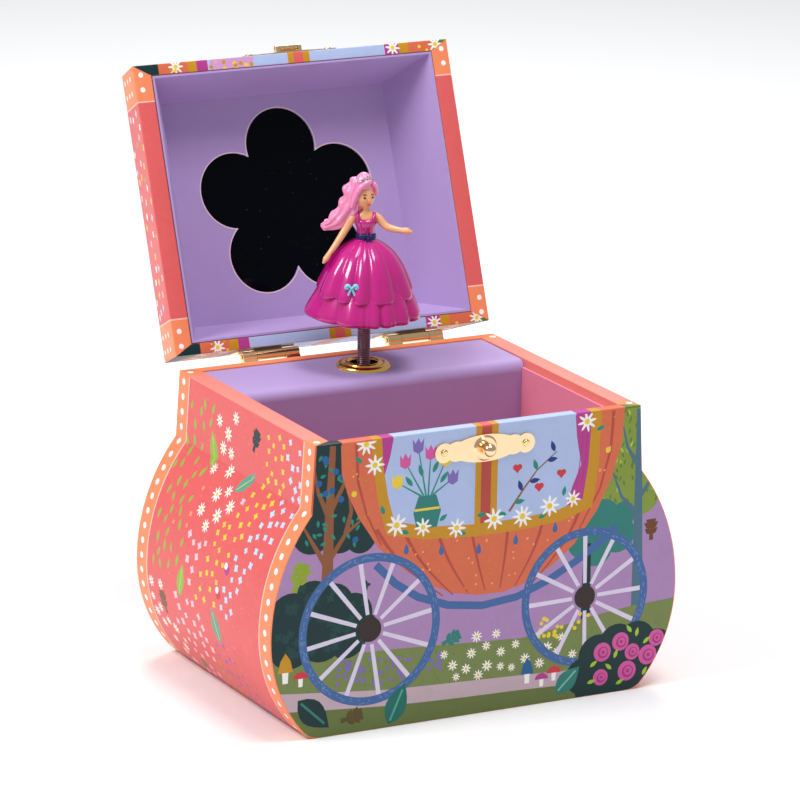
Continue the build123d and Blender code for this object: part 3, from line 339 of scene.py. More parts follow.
def mirror_material():
    """Silvered glass painted near black with little shine, as a painted reflection of dark surroundings, with a
    few specks of dust.
    """
    made = material("mirror_painted_reflection", "03050A", roughness=0.03, specular=0.06)
    nodes, links = made.node_tree.nodes, made.node_tree.links
    shader = nodes["Principled BSDF"]
    place = nodes.new("ShaderNodeTexCoord")
    specks = nodes.new("ShaderNodeTexVoronoi")
    specks.inputs["Scale"].default_value = 380
    links.new(place.outputs["Object"], specks.inputs["Vector"])
    cloud = nodes.new("ShaderNodeTexNoise")
    cloud.inputs["Scale"].default_value = 55
    links.new(place.outputs["Object"], cloud.inputs["Vector"])
    near = nodes.new("ShaderNodeMapRange")
    near.inputs["From Min"].default_value = 0.10
    near.inputs["From Max"].default_value = 0.04
    links.new(specks.outputs["Distance"], near.inputs["Value"])
    where = nodes.new("ShaderNodeMapRange")
    where.inputs["From Min"].default_value = 0.44
    where.inputs["From Max"].default_value = 0.70
    links.new(cloud.outputs["Fac"], where.inputs["Value"])
    amount = nodes.new("ShaderNodeMath")
    amount.operation = "MULTIPLY"
    links.new(near.outputs["Result"], amount.inputs[0])
    links.new(where.outputs["Result"], amount.inputs[1])
    mix = nodes.new("ShaderNodeMix")
    mix.data_type = "RGBA"
    # near black between the dust specks: the mirror's painted dark reflection
    mix.inputs["A"].default_value = linear("03050A")
    mix.inputs["B"].default_value = linear("56607A")
    links.new(amount.outputs[0], mix.inputs["Factor"])
    links.new(mix.outputs["Result"], shader.inputs["Base Color"])
    return made


def paper():
    """Laminated printed paper whose colours come from the mesh."""
    return material("printed_paper", attribute="print", grain=420.0, variation=0.10, bump=0.05,
                    roughness=0.5, coat=0.12, coat_roughness=0.12, specular=0.25)


def gold():
    return material("pale_gold", "EFD096", metallic=1.0, roughness=0.15)


def magenta():
    return material("magenta_gloss", "C0107F", roughness=0.26, coat=1.0, coat_roughness=0.05, specular=0.3)


def rose_gold():
    return material("rose_gold", "F8D6AA", metallic=1.0, roughness=0.16)


# ---------------------------------------------------------------- printed sheets
class Sheet:
    """Flat artwork as layered shapes in millimetres, cut to an outline and wrapped on a surface."""

    def __init__(self, outline, ground):
        self.points, self.faces, self.colours, self.edges = [], [], [], []
        self.shape(outline, ground)

    def shape(self, points, colour):
        """A filled shape on top of the earlier ones; its corners may be given either way round."""
        start = len(self.points)
        area = sum(a[0] * b[1] - b[0] * a[1] for a, b in zip(points, list(points[1:]) + [points[0]]))
        self.points += [Vector(p) for p in (points if area > 0 else reversed(points))]
        self.faces.append(list(range(start, start + len(points))))
        self.colours.append(linear(colour))

    def cut(self, a, b):
        """A line that the finished mesh must follow, such as a bend."""
        start = len(self.points)
        self.points += [Vector(a), Vector(b)]
        self.edges.append((start, start + 1))

    def disc(self, x, y, radius, colour, tall=None, turn=0.0, count=18):
        tall = tall or radius
        c, s = math.cos(turn), math.sin(turn)
        ring = [(radius * math.cos(2 * math.pi * i / count), tall * math.sin(2 * math.pi * i / count))
                for i in range(count)]
        self.shape([(x + a * c - b * s, y + a * s + b * c) for a, b in ring], colour)

    def bloom(self, x, y, radius, petals, colour, depth=0.45, turn=0.0, heart=None):
        """A flower whose petals are the lobes of one closed curve."""
        count = petals * 6
        ring = []
        for i in range(count):
            a = 2 * math.pi * i / count
            r = radius * (1 - depth * (0.5 - 0.5 * math.cos(petals * a)) ** 0.8)
            ring.append((x + r * math.cos(a + turn), y + r * math.sin(a + turn)))
        self.shape(ring, colour)
        if heart:
            self.disc(x, y, radius * 0.27, heart, count=10)

    def leaf(self, x, y, length, width, turn, colour, vein=None):
        """A pointed leaf from its foot."""
        steps = 7
        left = [(length * i / steps, width / 2 * math.sin(math.pi * (i / steps) ** 0.85))
                for i in range(steps + 1)]
        ring = left + [(a, -b) for a, b in reversed(left[1:-1])]
        c, s = math.cos(turn), math.sin(turn)
        self.shape([(x + a * c - b * s, y + a * s + b * c) for a, b in ring], colour)
        if vein:
            self.band([(x + 0.1 * length * c, y + 0.1 * length * s),
                       (x + 0.85 * length * c, y + 0.85 * length * s)], width * 0.09, vein)

    def drop(self, x, y, size, colour):
        ring = [(0, size), (size * 0.35, size * 0.2), (size * 0.42, -size * 0.3), (size * 0.2, -size * 0.65),
                (-size * 0.2, -size * 0.65), (-size * 0.42, -size * 0.3), (-size * 0.35, size * 0.2)]
        self.shape([(x + a, y + b) for a, b in ring], colour)

    def band(self, line, width, colour, end_width=None):
        """A stroke along a line, as one strip that may taper."""
        end_width = width if end_width is None else end_width
        left, right = [], []
        for i, place in enumerate(line):
            a = Vector(line[max(i - 1, 0)])
            b = Vector(line[min(i + 1, len(line) - 1)])
            along = (b - a).normalized()
            half = (width + (end_width - width) * i / (len(line) - 1)) / 2
            left.append((place[0] - along.y * half, place[1] + along.x * half))
            right.append((place[0] + along.y * half, place[1] - along.x * half))
        for i in range(len(line) - 1):
            self.shape([left[i], left[i + 1], right[i + 1], right[i]], colour)

    def ring(self, x, y, outer, inner, colour, count=72):
        """A flat ring in short pieces."""
        for i in range(count):
            a0, a1 = 2 * math.pi * i / count, 2 * math.pi * (i + 1) / count
            self.shape([(x + r * math.cos(a), y + r * math.sin(a))
                        for r, a in ((inner, a0), (outer, a0), (outer, a1), (inner, a1))], colour)

    def cloud(self, blobs, colour):
        """A bush or tree top as overlapping discs of (x, y, radius)."""
        for x, y, radius in blobs:
            self.disc(x, y, radius, colour, count=22)

    def wrap(self, name, place, outward):
        """The finished mesh, each point put in space by place(u, v), facing roughly outward."""
        made = delaunay_2d_cdt(self.points, self.edges, self.faces, 1, 1e-4)
        flat, faces, sources = made[0], made[2], made[5]
        kept, colours = [], []
        for face, source in zip(faces, sources):
            if 0 in source:
                kept.append(tuple(face))
                colours.append(self.colours[max(source)])
        used = sorted({i for face in kept for i in face})
        renumber = {old: new for new, old in enumerate(used)}
        points = [place(flat[i].x, flat[i].y) for i in used]
        faces = [tuple(renumber[i] for i in face) for face in kept]
        a, b, c = (Vector(points[i]) for i in max(
            faces, key=lambda f: (Vector(points[f[1]]) - Vector(points[f[0]])).cross(
                Vector(points[f[2]]) - Vector(points[f[0]])).length)[:3])
        if (b - a).cross(c - a).dot(Vector(outward)) < 0:
            faces = [tuple(reversed(face)) for face in faces]
        piece = new_object(name, points, faces)
        layer = piece.data.color_attributes.new(name="print", type="FLOAT_COLOR", domain="CORNER")
        values = []
        for polygon, colour in zip(piece.data.polygons, colours):
            values += list(colour) * polygon.loop_total
        layer.data.foreach_set("color", values)
        return piece


class Route:
    """A bent line in a plane, measured along its length."""

    def __init__(self, points):
        self.points = [Vector(p) for p in points]
        self.marks = [0.0]
        for a, b in zip(self.points, self.points[1:]):
            self.marks.append(self.marks[-1] + (b - a).length)

    def at(self, s):
        s = min(max(s, 0.0), self.marks[-1])
        for i in range(len(self.marks) - 1):
            if s <= self.marks[i + 1] or i == len(self.marks) - 2:
                span = self.marks[i + 1] - self.marks[i]
                return self.points[i].lerp(self.points[i + 1], (s - self.marks[i]) / span if span else 0)


def arc(centre, radius, start, end, steps=5):
    """Points on an arc, angles in degrees."""
    return [(centre[0] + radius * math.cos(math.radians(start + (end - start) * i / steps)),
             centre[1] + radius * math.sin(math.radians(start + (end - start) * i / steps)))
            for i in range(steps + 1)]


PAPER = 0.22            # printed paper stands this far off the boards
RIM_PAPER = 0.08        # and this far off the rims, which nearly meet
BEND = 0.45             # radius of the paper's bends


@functools.lru_cache(maxsize=None)
def corners(node):
    """Lowest and highest corners of a CAD node in millimetres."""
    low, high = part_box(node)
    return [v / MM for v in low], [v / MM for v in high]


def body_profile():
    """Right half of the front panel's outline, from its foot to its rim, as (x, z)."""
    mesh = frame["nodes"]["front_panel"].data
    low, high = corners("front_panel")
    widest = {}
    for vertex in mesh.vertices:
        x, y, z = (v / MM for v in vertex.co)
        if abs(y - low[1]) < 0.01 and x > high[0] * 0.6:
            key = round(z, 2)
            widest[key] = max(widest.get(key, 0.0), x)
    return [(widest[z], z) for z in sorted(widest)]


def outward_normals(profile):
    """Unit normals of an outline that climbs on its right."""
    normals = []
    for i in range(len(profile)):
        a = Vector(profile[max(i - 1, 0)])
        b = Vector(profile[min(i + 1, len(profile) - 1)])
        along = (b - a).normalized()
        normals.append(Vector((along.y, -along.x)))
    return normals


def offset_profile(profile, distance):
    """The outline moved outwards."""
    return [Vector(p) + n * distance for p, n in zip(profile, outward_normals(profile))]


# ---------------------------------------------------------------- artwork
def daisy(sheet, x, y, radius, rng, colour=WHITE):
    sheet.bloom(x, y, radius, rng.choice((8, 9)), colour, depth=0.62, turn=rng.uniform(0, 1), heart=YELLOW)


def window_columns(sheet, low, high):
    """The upright stripes of the carriage and its window, between two heights."""
    for left, right, colour in (
        (-66, -55, DARK_TEAL), (-55, -43, ORANGE), (-43, -39.5, OCHRE), (-39.5, -35, MAGENTA),
        (-35, -2, SKY), (-2, 0.4, OCHRE), (0.4, 4.4, CORAL), (4.4, 7, OCHRE), (7, 38.5, SKY),
        (38.5, 44.5, MAGENTA), (44.5, 48.5, OCHRE), (48.5, 58.5, ORANGE), (58.5, 66, MOSS_DARK),
    ):
        sheet.shape([(left, low), (right, low), (right, high), (left, high)], colour)


def draw_wheel(sheet, x, y, radius, turn, rng):
    for i in range(12):
        a = turn + 2 * math.pi * i / 12
        inner, outer = radius * 0.2, radius * 0.9
        line = [(x + r * math.cos(a), y + r * math.sin(a)) for r in (inner, outer)]
        sheet.band(line, 1.45, SPOKE, 1.75)
    sheet.ring(x, y, radius, radius - 3.1, BLUE)
    for i in range(150):
        a = rng.uniform(0, 2 * math.pi)
        r = radius - rng.uniform(0.6, 2.5)
        long = rng.uniform(0.02, 0.06)
        sheet.band([(x + r * math.cos(a), y + r * math.sin(a)),
                    (x + r * math.cos(a + long), y + r * math.sin(a + long))], 0.32, BLUE_LIGHT)
    sheet.disc(x, y, radius * 0.165, HUB, count=26)


def draw_ground(sheet, rng):
    """Grass, path and lower grass across a panel."""
    width = 84
    sheet.shape([(-width, 30), (-54, 29.5), (-34, 29), (-16, 28), (0, 27), (18, 26), (28, 27), (44, 30),
                 (63, 32), (width, 33), (width, -1), (-width, -1)], OLIVE)
    for i in range(260):
        x, y = rng.uniform(-width, width), rng.uniform(1, 27)
        sheet.band([(x, y), (x + rng.uniform(-0.5, 0.5), y + rng.uniform(1, 2.2))], 0.3, DEEP_OLIVE, 0.1)
    sheet.shape([(-width, 19), (-60, 16.5), (-34, 14), (-8, 13), (18, 12), (39, 11), (width, 8.5),
                 (width, 3), (39, 5.6), (18, 6.4), (-8, 7), (-34, 8), (-60, 10), (-width, 12)], PATH)
    sheet.shape([(-width, 12), (-60, 10), (-34, 8), (-8, 7), (18, 6.4), (39, 5.6), (width, 3),
                 (width, -1), (-width, -1)], DEEP_OLIVE)
    for i in range(90):
        x, y = rng.uniform(-56, -14), rng.uniform(14, 27)
        if y > 15 + 0.05 * abs(x):
            sheet.disc(x, y, 0.75, VIOLET, count=9)


def mushroom(sheet, x, y, size, colour, pointed=False):
    sheet.shape([(x - size * 0.13, y), (x + size * 0.13, y), (x + size * 0.16, y + size * 0.6),
                 (x - size * 0.16, y + size * 0.6)], WHITE)
    if pointed:
        cap = [(x - size * 0.38, y + size * 0.5), (x + size * 0.38, y + size * 0.5),
               (x + size * 0.24, y + size * 1.05), (x, y + size * 1.4), (x - size * 0.24, y + size * 1.05)]
    else:
        cap = [(x + size * 0.5 * math.cos(a), y + size * 0.5 + size * 0.42 * math.sin(a))
               for a in [math.pi * i / 10 for i in range(11)]]
    sheet.shape(cap, colour)


def oak_leaf(sheet, x, y, size, turn, colour):
    sheet.band([(x, y), (x + size * math.cos(turn), y + size * math.sin(turn))], size * 0.22, colour,
               size * 0.08)
    for share, reach in ((0.3, 0.42), (0.55, 0.46), (0.78, 0.32)):
        foot = (x + size * share * math.cos(turn), y + size * share * math.sin(turn))
        for side in (-1, 1):
            sheet.leaf(foot[0], foot[1], size * reach, size * 0.24, turn + side * 0.9, colour)


def draw_left_tree(sheet, rng):
    sheet.cloud([(-58, 100, 12), (-50, 92, 10), (-62, 86, 11), (-50, 80, 9), (-66, 76, 8), (-55, 74, 7),
                 (-47, 72, 6), (-68, 98, 10), (-46, 102, 8), (-72, 80, 8)], DARK_TEAL)
    sheet.band([(-60.5, 40), (-60, 62), (-59.5, 84), (-58.5, 108)], 5.4, BARK, 2.2)
    for line in ([(-60, 62), (-66, 72), (-70, 79)], [(-60, 64), (-53, 74), (-46, 79)],
                 [(-59.5, 82), (-54, 92), (-51, 104)], [(-59.5, 80), (-64, 90), (-66, 100)],
                 [(-53, 74), (-51, 82), (-52, 88)]):
        sheet.band(line, 2.2, BARK, 0.7)
    for i in range(34):
        x, y = rng.uniform(-70, -43), rng.uniform(70, 106)
        sheet.leaf(x, y, 2.6, 1.2, rng.uniform(0, 6.3), TEAL)
    for i in range(11):
        sheet.disc(rng.uniform(-69, -45), rng.uniform(71, 105), 1.2, "1F5D9C", count=12)


def draw_right_tree(sheet, rng):
    sheet.cloud([(64, 100, 13), (56, 92, 10), (72, 92, 9), (60, 82, 10), (71, 80, 9), (66, 74, 8),
                 (55, 76, 7)], MOSS)
    for i in range(150):
        x, y = rng.uniform(47, 77), rng.uniform(68, 107)
        sheet.leaf(x, y, 2.4, 0.8, rng.uniform(1.0, 2.2), rng.choice((MOSS_DARK, "B2C549", MOSS_DARK)))
    sheet.cloud([(44, 60, 8), (50, 66, 8), (57, 60, 7), (48, 56, 7), (59, 67, 5)], SEA)
    sheet.band([(66, 24), (65.5, 50), (65, 78), (64.5, 106)], 5.2, SLATE, 2.0)
    for line in ([(65, 66), (58, 74), (54, 84)], [(65, 72), (71, 80), (73, 90)],
                 [(65, 84), (60, 92), (58, 100)]):
        sheet.band(line, 1.9, SLATE, 0.6)
    sheet.band([(44.5, 26), (44.5, 58)], 4.0, DARK_TEAL, 3.0)


def draw_bushes(sheet, rng):
    sheet.cloud([(-74, 46, 9), (-66, 50, 8.5), (-58, 48, 8.5), (-50, 44, 8), (-62, 38, 10), (-74, 36, 9),
                 (-52, 36, 8), (-45, 39, 5), (-80, 42, 7)], DARK_TEAL)
    for i in range(44):
        x, y = rng.uniform(-80, -44), rng.uniform(30, 56)
        sheet.bloom(x, y, 1.9, 4, "123F3E", depth=0.5, turn=rng.uniform(0, 1))


def draw_roses(sheet, rng):
    sheet.cloud([(44, 8, 7), (50, 15, 8), (58, 18, 8), (66, 18, 8), (74, 14, 8), (79, 8, 7), (56, 6, 9),
                 (67, 6, 9), (48, 2, 7), (76, 2, 7)], DARK_TEAL)
    for x, y, radius in ((52, 16, 3.6), (59.5, 19, 3.5), (64.5, 14.5, 3.1), (71, 12.5, 3.8), (62.5, 7.5, 3.8),
                         (51.5, 6.5, 3.1), (74.5, 18.5, 3.2)):
        sheet.disc(x, y, radius, ROSE, count=16)
        sheet.disc(x + 0.3, y - 0.2, radius * 0.62, ROSE_DEEP, count=14)
        sheet.disc(x + 0.5, y, radius * 0.45, ROSE, count=12)
        sheet.disc(x + 0.3, y - 0.1, radius * 0.2, ROSE_DEEP, count=9)
    for x, y, turn in ((47, 11, 0.6), (46, 5, 0.2), (57, 13, 1.2), (56, 9, 2.4), (66, 20, 1.4), (69, 17, 0.7),
                       (58, 3, 0.4), (69, 5, 1.0), (76, 9, 2.0), (64, 22, 2.2)):
        sheet.leaf(x, y, 3.6, 1.5, turn, LIME)


def draw_carriage(sheet, rng):
    body = [(-55.5, 108), (-55, 96), (-52.5, 88), (-48, 79), (-40, 67), (-30, 58), (-20, 51), (-10, 46.6),
            (0, 44.6), (10, 44.3), (20, 46.6), (30, 51.6), (39, 58.6), (48, 70), (54, 82), (57.5, 94),
            (58.5, 108)]
    sheet.shape(body, ORANGE)
    for foot, top, bow in ((-14, -41, -6), (-10, -31, -5), (-4, -18, -3), (3, -4, -1), (9, 12, 1),
                           (15, 27, 4),
                           (22, 42, 6)):
        line = [(foot + (top - foot) * t + bow * math.sin(math.pi * t) * 0.5, 46 + 28 * t)
                for t in [i / 8 for i in range(9)]]
        sheet.band(line, 0.5, RIB, 1.5)
    for line in ([(-39, 68), (-45, 80), (-48.5, 92), (-49.5, 108)],
                 [(41, 64), (49, 78), (53, 92), (54, 108)]):
        sheet.band(line, 0.6, RIB, 1.3)
    for i in range(260):
        x, y = rng.uniform(-54, 57), rng.uniform(45, 107)
        if ((x - 1.5) / 54) ** 2 + ((y - 108) / 61) ** 2 < 1:
            sheet.disc(x, y, 0.42, rng.choice((OCHRE, "F3A06B")), count=7)
    for x, y in ((-50, 88), (52, 92)):
        sheet.disc(x, y, 1.1, YELLOW, count=12)


def draw_window(sheet, rng, top=108):
    sheet.shape([(-43.5, top), (-42.5, 96), (-40.5, 84), (-37, 71.5), (-22, 68), (-2, 66.5), (18, 66.6),
                 (34, 68), (46, 71.5), (48.2, 86), (49, top)], OCHRE)
    sheet.shape([(-39.5, top), (-38.5, 96), (-36.8, 86), (-34, 76), (-20, 72.4), (-2, 71), (18, 71),
                 (32, 72.2), (42, 75), (44, 88), (45, top)], SKY)
    sheet.shape([(-39.5, top), (-34.5, top), (-36, 100), (-39.2, 90), (-36.6, 84), (-34, 77), (-34, 76),
                 (-36.8, 86), (-38.6, 96)], MAGENTA)
    sheet.shape([(38, top), (45, top), (44, 88), (42, 75), (35.5, 73), (37.5, 80), (41, 88), (39, 98)],
                MAGENTA)
    for x in (40.5, 42.5):
        sheet.band([(x, top), (x + 0.8, 96), (x - 1.2, 80)], 0.35, ROSE_DEEP)
    sheet.shape([(-2, top), (-2, 71), (7, 71), (7, top)], OCHRE)
    sheet.shape([(0.4, top), (0.4, 71), (4.4, 71), (4.4, top)], RIB)
    # a jug of tulips on the left and a sprig with hearts on the right
    sheet.shape([(-25, 72), (-17, 72), (-15.5, 78), (-17.5, 84), (-24.5, 84), (-26.5, 78)], SEA)
    sheet.band([(-26, 79), (-16, 79)], 0.9, YELLOW)
    for x, y, lean, colour in ((-30, 97, -5, ROSE), (-25, 102, -2, VIOLET), (-20, 99, 1, ROSE),
                               (-14, 96, 5, YELLOW), (-11, 89, 7, VIOLET), (-33, 90, -8, YELLOW)):
        sheet.band([(-21 + lean * 0.3, 84), (x, y)], 0.7, TEAL, 0.4)
        sheet.shape([(x - 2.3, y + 3.2), (x - 2.0, y - 1.2), (x, y - 2.4), (x + 2.0, y - 1.2),
                     (x + 2.3, y + 3.2), (x + 1.1, y + 1.4), (x, y + 3.4), (x - 1.1, y + 1.4)], colour)
    for x, y, turn in ((-27, 88, 2.2), (-16, 88, 0.9), (-23, 91, 1.9), (-19, 92, 1.1)):
        sheet.leaf(x, y, 5, 1.8, turn, TEAL)
    sheet.band([(12, 74), (18, 82), (23, 88), (31, 94)], 0.9, BARK, 0.4)
    for i, (x, y) in enumerate(((14, 77), (17, 81), (20, 84), (23, 88), (27, 91), (30, 94))):
        sheet.leaf(x, y, 4.4, 1.9, 1.9 if i % 2 else 0.1, "23357E" if i % 3 else TEAL)
    for x, y in ((24, 82), (33, 86), (15, 90)):
        sheet.disc(x - 0.8, y, 1.1, RED, count=12)
        sheet.disc(x + 0.8, y, 1.1, RED, count=12)
        sheet.shape([(x - 1.8, y - 0.3), (x, y - 2.3), (x + 1.8, y - 0.3), (x, y + 0.4)], RED)


def draw_sill(sheet, rng):
    for x, y, turn in ((-16, 74, 0.6), (-1, 74, 0.1), (11, 73, 2.9), (34, 77, 1.4), (47, 100, 0.3),
                       (-47, 99, 2.5),
                       (-28, 71, 2.8), (-38, 79, 1.9), (24, 70, 0.4), (-5, 68, 3.0)):
        sheet.leaf(x, y, 3.8, 1.7, turn, TEAL)
    for x, y, radius in ((-33, 74.5, 4.4), (-22.5, 72.5, 3.6), (-9, 70.5, 3.8), (6, 72, 4.3),
                         (17.5, 71.5, 4.3),
                         (28.5, 74, 4.2), (38, 75.5, 3.4), (-42, 97.5, 4.0), (-45.5, 105.5, 4.2),
                         (43, 103.5, 4.0)):
        daisy(sheet, x, y, radius, rng)


def front_art(sheet, rng):
    """Front panel: a carriage in a garden."""
    draw_right_tree(sheet, rng)
    draw_left_tree(sheet, rng)
    draw_ground(sheet, rng)
    draw_bushes(sheet, rng)
    for i in range(26):
        sheet.disc(rng.uniform(24, 46), rng.uniform(24, 32), 0.8, YELLOW, count=8)
    draw_carriage(sheet, rng)
    draw_window(sheet, rng)
    for x, y in ((-29, 65), (-15, 63), (0, 61.5), (15, 63), (31, 65.5)):
        sheet.drop(x, y, 2.5, BLUE)
    sheet.band([(-41, 61), (-33, 53), (-24, 47), (-12, 42.4), (2, 40.4), (16, 41.8), (28, 46), (40, 52),
                (50, 58),
                (56, 63)], 2.9, BLUE)
    draw_sill(sheet, rng)
    for x, y in ((-13, 24), (-9.5, 19.5), (-8, 15), (-4, 17.5), (1, 14.5), (4.5, 17.5), (10, 16.5),
                 (14.5, 15.5),
                 (20, 18), (26, 15.5), (29, 21), (35, 24), (33, 19), (39.5, 17), (-2, 23), (4, 25), (10, 22),
                 (16, 24), (0, 29), (8, 29)):
        daisy(sheet, x, y, rng.uniform(1.7, 2.4), rng)
    draw_wheel(sheet, -43, 37.5, 28, 0.16, rng)
    draw_wheel(sheet, 44, 38, 26, 0.02, rng)
    draw_roses(sheet, rng)
    sheet.leaf(-71, 15, 17, 9.5, -0.75, DARK_TEAL, SEA)
    sheet.leaf(-35, 1, 16, 8.5, 1.15, "166B60", "4FA797")
    sheet.leaf(33, 3, 13, 7.5, 0.75, SEA, "7CBFAF")
    oak_leaf(sheet, -54, 5, 9, 0.2, "5A4A22")
    oak_leaf(sheet, 71, 56, 8, 1.6, "6E3F1F")
    oak_leaf(sheet, -73, 55, 11, 1.2, "8FA32C")
    oak_leaf(sheet, -14, 28, 8, 0.4, SEA)
    mushroom(sheet, -76, 22, 8, OCHRE, True)
    mushroom(sheet, -70, 20, 6, RED)
    mushroom(sheet, 21, 8.5, 7, "1E5F93", True)
    mushroom(sheet, 27, 6.5, 5.5, MAGENTA)
    mushroom(sheet, 32, 8, 6, RED)


def back_art(sheet, rng):
    """Back panel: a quiet garden without the carriage."""
    draw_right_tree(sheet, rng)
    draw_left_tree(sheet, rng)
    draw_ground(sheet, rng)
    draw_bushes(sheet, rng)
    for i in range(40):
        daisy(sheet, rng.uniform(-60, 60), rng.uniform(12, 26), rng.uniform(1.6, 2.4), rng)
    draw_roses(sheet, rng)


def side_art(sheet, rng, length, depth):
    """Side panel: streams of small flowers on coral, between two dotted bands; v runs from foot to rim."""
    half = depth / 2
    for i in range(500):
        x, y = rng.uniform(-half + 10, half - 10), rng.uniform(1, length)
        sheet.disc(x, y, rng.uniform(0.2, 0.5), rng.choice((CORAL_DEEP, "E8767A")), count=6)

    taken = []

    def stream(kind, colour, line, width, size, gap):
        """Fills a wandering strip with motifs that keep their distance from each other."""
        for i in range(70 * len(line)):
            t = rng.uniform(0, len(line) - 1.001)
            k = int(t)
            place = Vector(line[k]).lerp(Vector(line[k + 1]), t - k)
            place += Vector((rng.uniform(-width, width), rng.uniform(-2, 2)))
            if any((place - other).length < max(gap, keep) for other, keep in taken):
                continue
            taken.append((place, gap))
            radius = size * rng.uniform(0.85, 1.15)
            if kind == "daisy":
                daisy(sheet, place.x, place.y, radius, rng)
            elif kind == "leaf":
                sheet.leaf(place.x, place.y - radius, radius * 2.4, radius * 0.9, rng.uniform(1.2, 2.0),
                           colour)
            else:
                sheet.bloom(place.x, place.y, radius, kind, colour, depth=0.4, turn=rng.uniform(0, 1))

    for x, y, size, turn, colour in ((21, 90, 14, 1.25, LEAF_GREEN), (-2, 87, 13, 2.3, SAGE),
                                     (19, 41, 13, 1.75, LEAF_GREEN), (-13, 32, 14, 1.2, SAGE)):
        sheet.leaf(x, y, size, size * 0.42, turn, colour, "B7CE7A")
        taken.append((Vector((x + size * 0.5 * math.cos(turn), y + size * 0.5 * math.sin(turn))),
                      size * 0.55))
    for x, y, size, turn, colour in ((-8, 104, 9, 1.9, DARK_TEAL), (33, 30, 9, 1.4, BROWN),
                                     (20, 10, 7, 2.4, "6D7A4C")):
        oak_leaf(sheet, x, y, size, turn, colour)
        taken.append((Vector((x, y + size / 2)), size * 0.7))
    for x, y, colour in ((-17, 61, MAGENTA), (-13, 51, RED)):
        sheet.disc(x, y, 1.9, colour, count=12)
        sheet.disc(x + 1.2, y + 1.2, 1.3, WHITE, count=10)
        taken.append((Vector((x, y)), 3.0))
    stream("daisy", WHITE, [(12, 112), (16, 98), (12, 88), (0, 80), (10, 72)], 7, 2.9, 6.2)
    stream("leaf", LEAF_GREEN, [(33, 113), (34, 98), (34, 84)], 11, 1.9, 4.6)
    stream("leaf", LEAF_GREEN, [(34, 80), (31, 62), (32, 46)], 11, 1.9, 4.8)
    stream(4, YELLOW, [(-25, 114), (-26, 98), (-18, 85), (-11, 70), (-5, 56), (-2, 44)], 7.5, 1.35, 3.9)
    stream(4, BABY_BLUE, [(-41, 114), (-41, 96), (-38, 86), (-31, 72), (-24, 60), (-17, 46)], 6.5, 1.5, 3.8)
    stream(4, PINK, [(-10, 88), (2, 72), (12, 56), (14, 44), (10, 32), (4, 20)], 9.5, 1.6, 4.2)
    stream(4, "F39A6B", [(22, 84), (22, 68), (22, 56)], 9, 1.1, 4.2)
    stream("daisy", "FBD9D6", [(41, 42), (38, 30), (32, 20), (24, 10)], 6, 2.2, 5.0)
    stream(4, VIOLET, [(-8, 32), (-16, 22), (-22, 12), (-28, 4)], 10, 1.1, 3.8)
    stream("leaf", "9DAA4A", [(6, 30), (-2, 18), (-8, 8)], 8, 1.3, 4.4)
    stream(4, PINK, [(30, 30), (20, 20), (12, 8)], 10, 1.4, 4.6)
    for side in (-1, 1):
        edge, inner = side * (half + 2), side * (half - 8.5)
        sheet.shape([(edge, -1), (inner, -1), (inner, length + 20), (edge, length + 20)], BAND)
        sheet.band([(inner, -1), (inner, length)], 0.7, PALE_LINE)
        for i in range(int(length / 5.6) + 1):
            sheet.disc(side * (half - 4.0), 3 + i * 5.6, 1.25, WHITE, count=12)


# ---------------------------------------------------------------- box papers
def rim_route(face, top, inner):
    """Up a board's face at a distance, over its rim and a little down its inner side."""
    over = top + RIM_PAPER
    outer_bend = arc((face - BEND, over - BEND), BEND, 0, 90)
    inner_bend = arc((inner + BEND * 0.6 - 0.1, over - BEND * 0.6), BEND * 0.6, 90, 180)
    return outer_bend + inner_bend + [(inner - 0.1, top - RIM_TURN)]


def box_sheet(name, side, art, ground, seed, slot):
    """Front (side -1) or back (side 1) panel's paper with its rim."""
    node = "front_panel" if side < 0 else "back_panel"
    low, high = corners(node)
    face = abs(low[1] if side < 0 else high[1])
    inner = abs(high[1] if side < 0 else low[1])
    top = high[2]
    profile = body_profile()
    inset = offset_profile(profile, PAPER - BEND)
    inset = [(x, z) for x, z in inset if z < top - BEND] + [(inset[-1][0], top - 0.02)]
    climb = [(face + PAPER, 0.0), (face + PAPER, top - BEND)]
    route = Route(climb + rim_route(face + PAPER, top, inner)[1:])
    neck = profile[-1][0]
    wall = neck - NECK_WALL
    face_end = top - BEND
    rim_start, rim_end, end = route.marks[2 + 4], route.marks[2 + 5], route.marks[-1]
    right = [(x, min(z, face_end)) for x, z in inset[:-1]] + [
        (inset[-1][0], face_end), (neck, rim_start), (wall, rim_end), (wall, end)]
    outline = [(x, v) for x, v in right] + [(-x, v) for x, v in reversed(right)]
    sheet = Sheet(outline, ground)
    rng = random.Random(seed)
    art(sheet, rng)
    window_columns(sheet, top - 0.6, end + 2) if side < 0 else sheet.shape(
        [(-70, top - 0.6), (70, top - 0.6), (70, end + 2), (-70, end + 2)], BAND)
    for mark in route.marks[1:-1]:
        sheet.cut((-90, mark), (90, mark))

    def place(u, v):
        point = route.at(v)
        return (u, side * point.x, point.y)

    piece = sheet.wrap(name, place, (0, side, 0))
    return dress(piece, paper(), "box", slot)


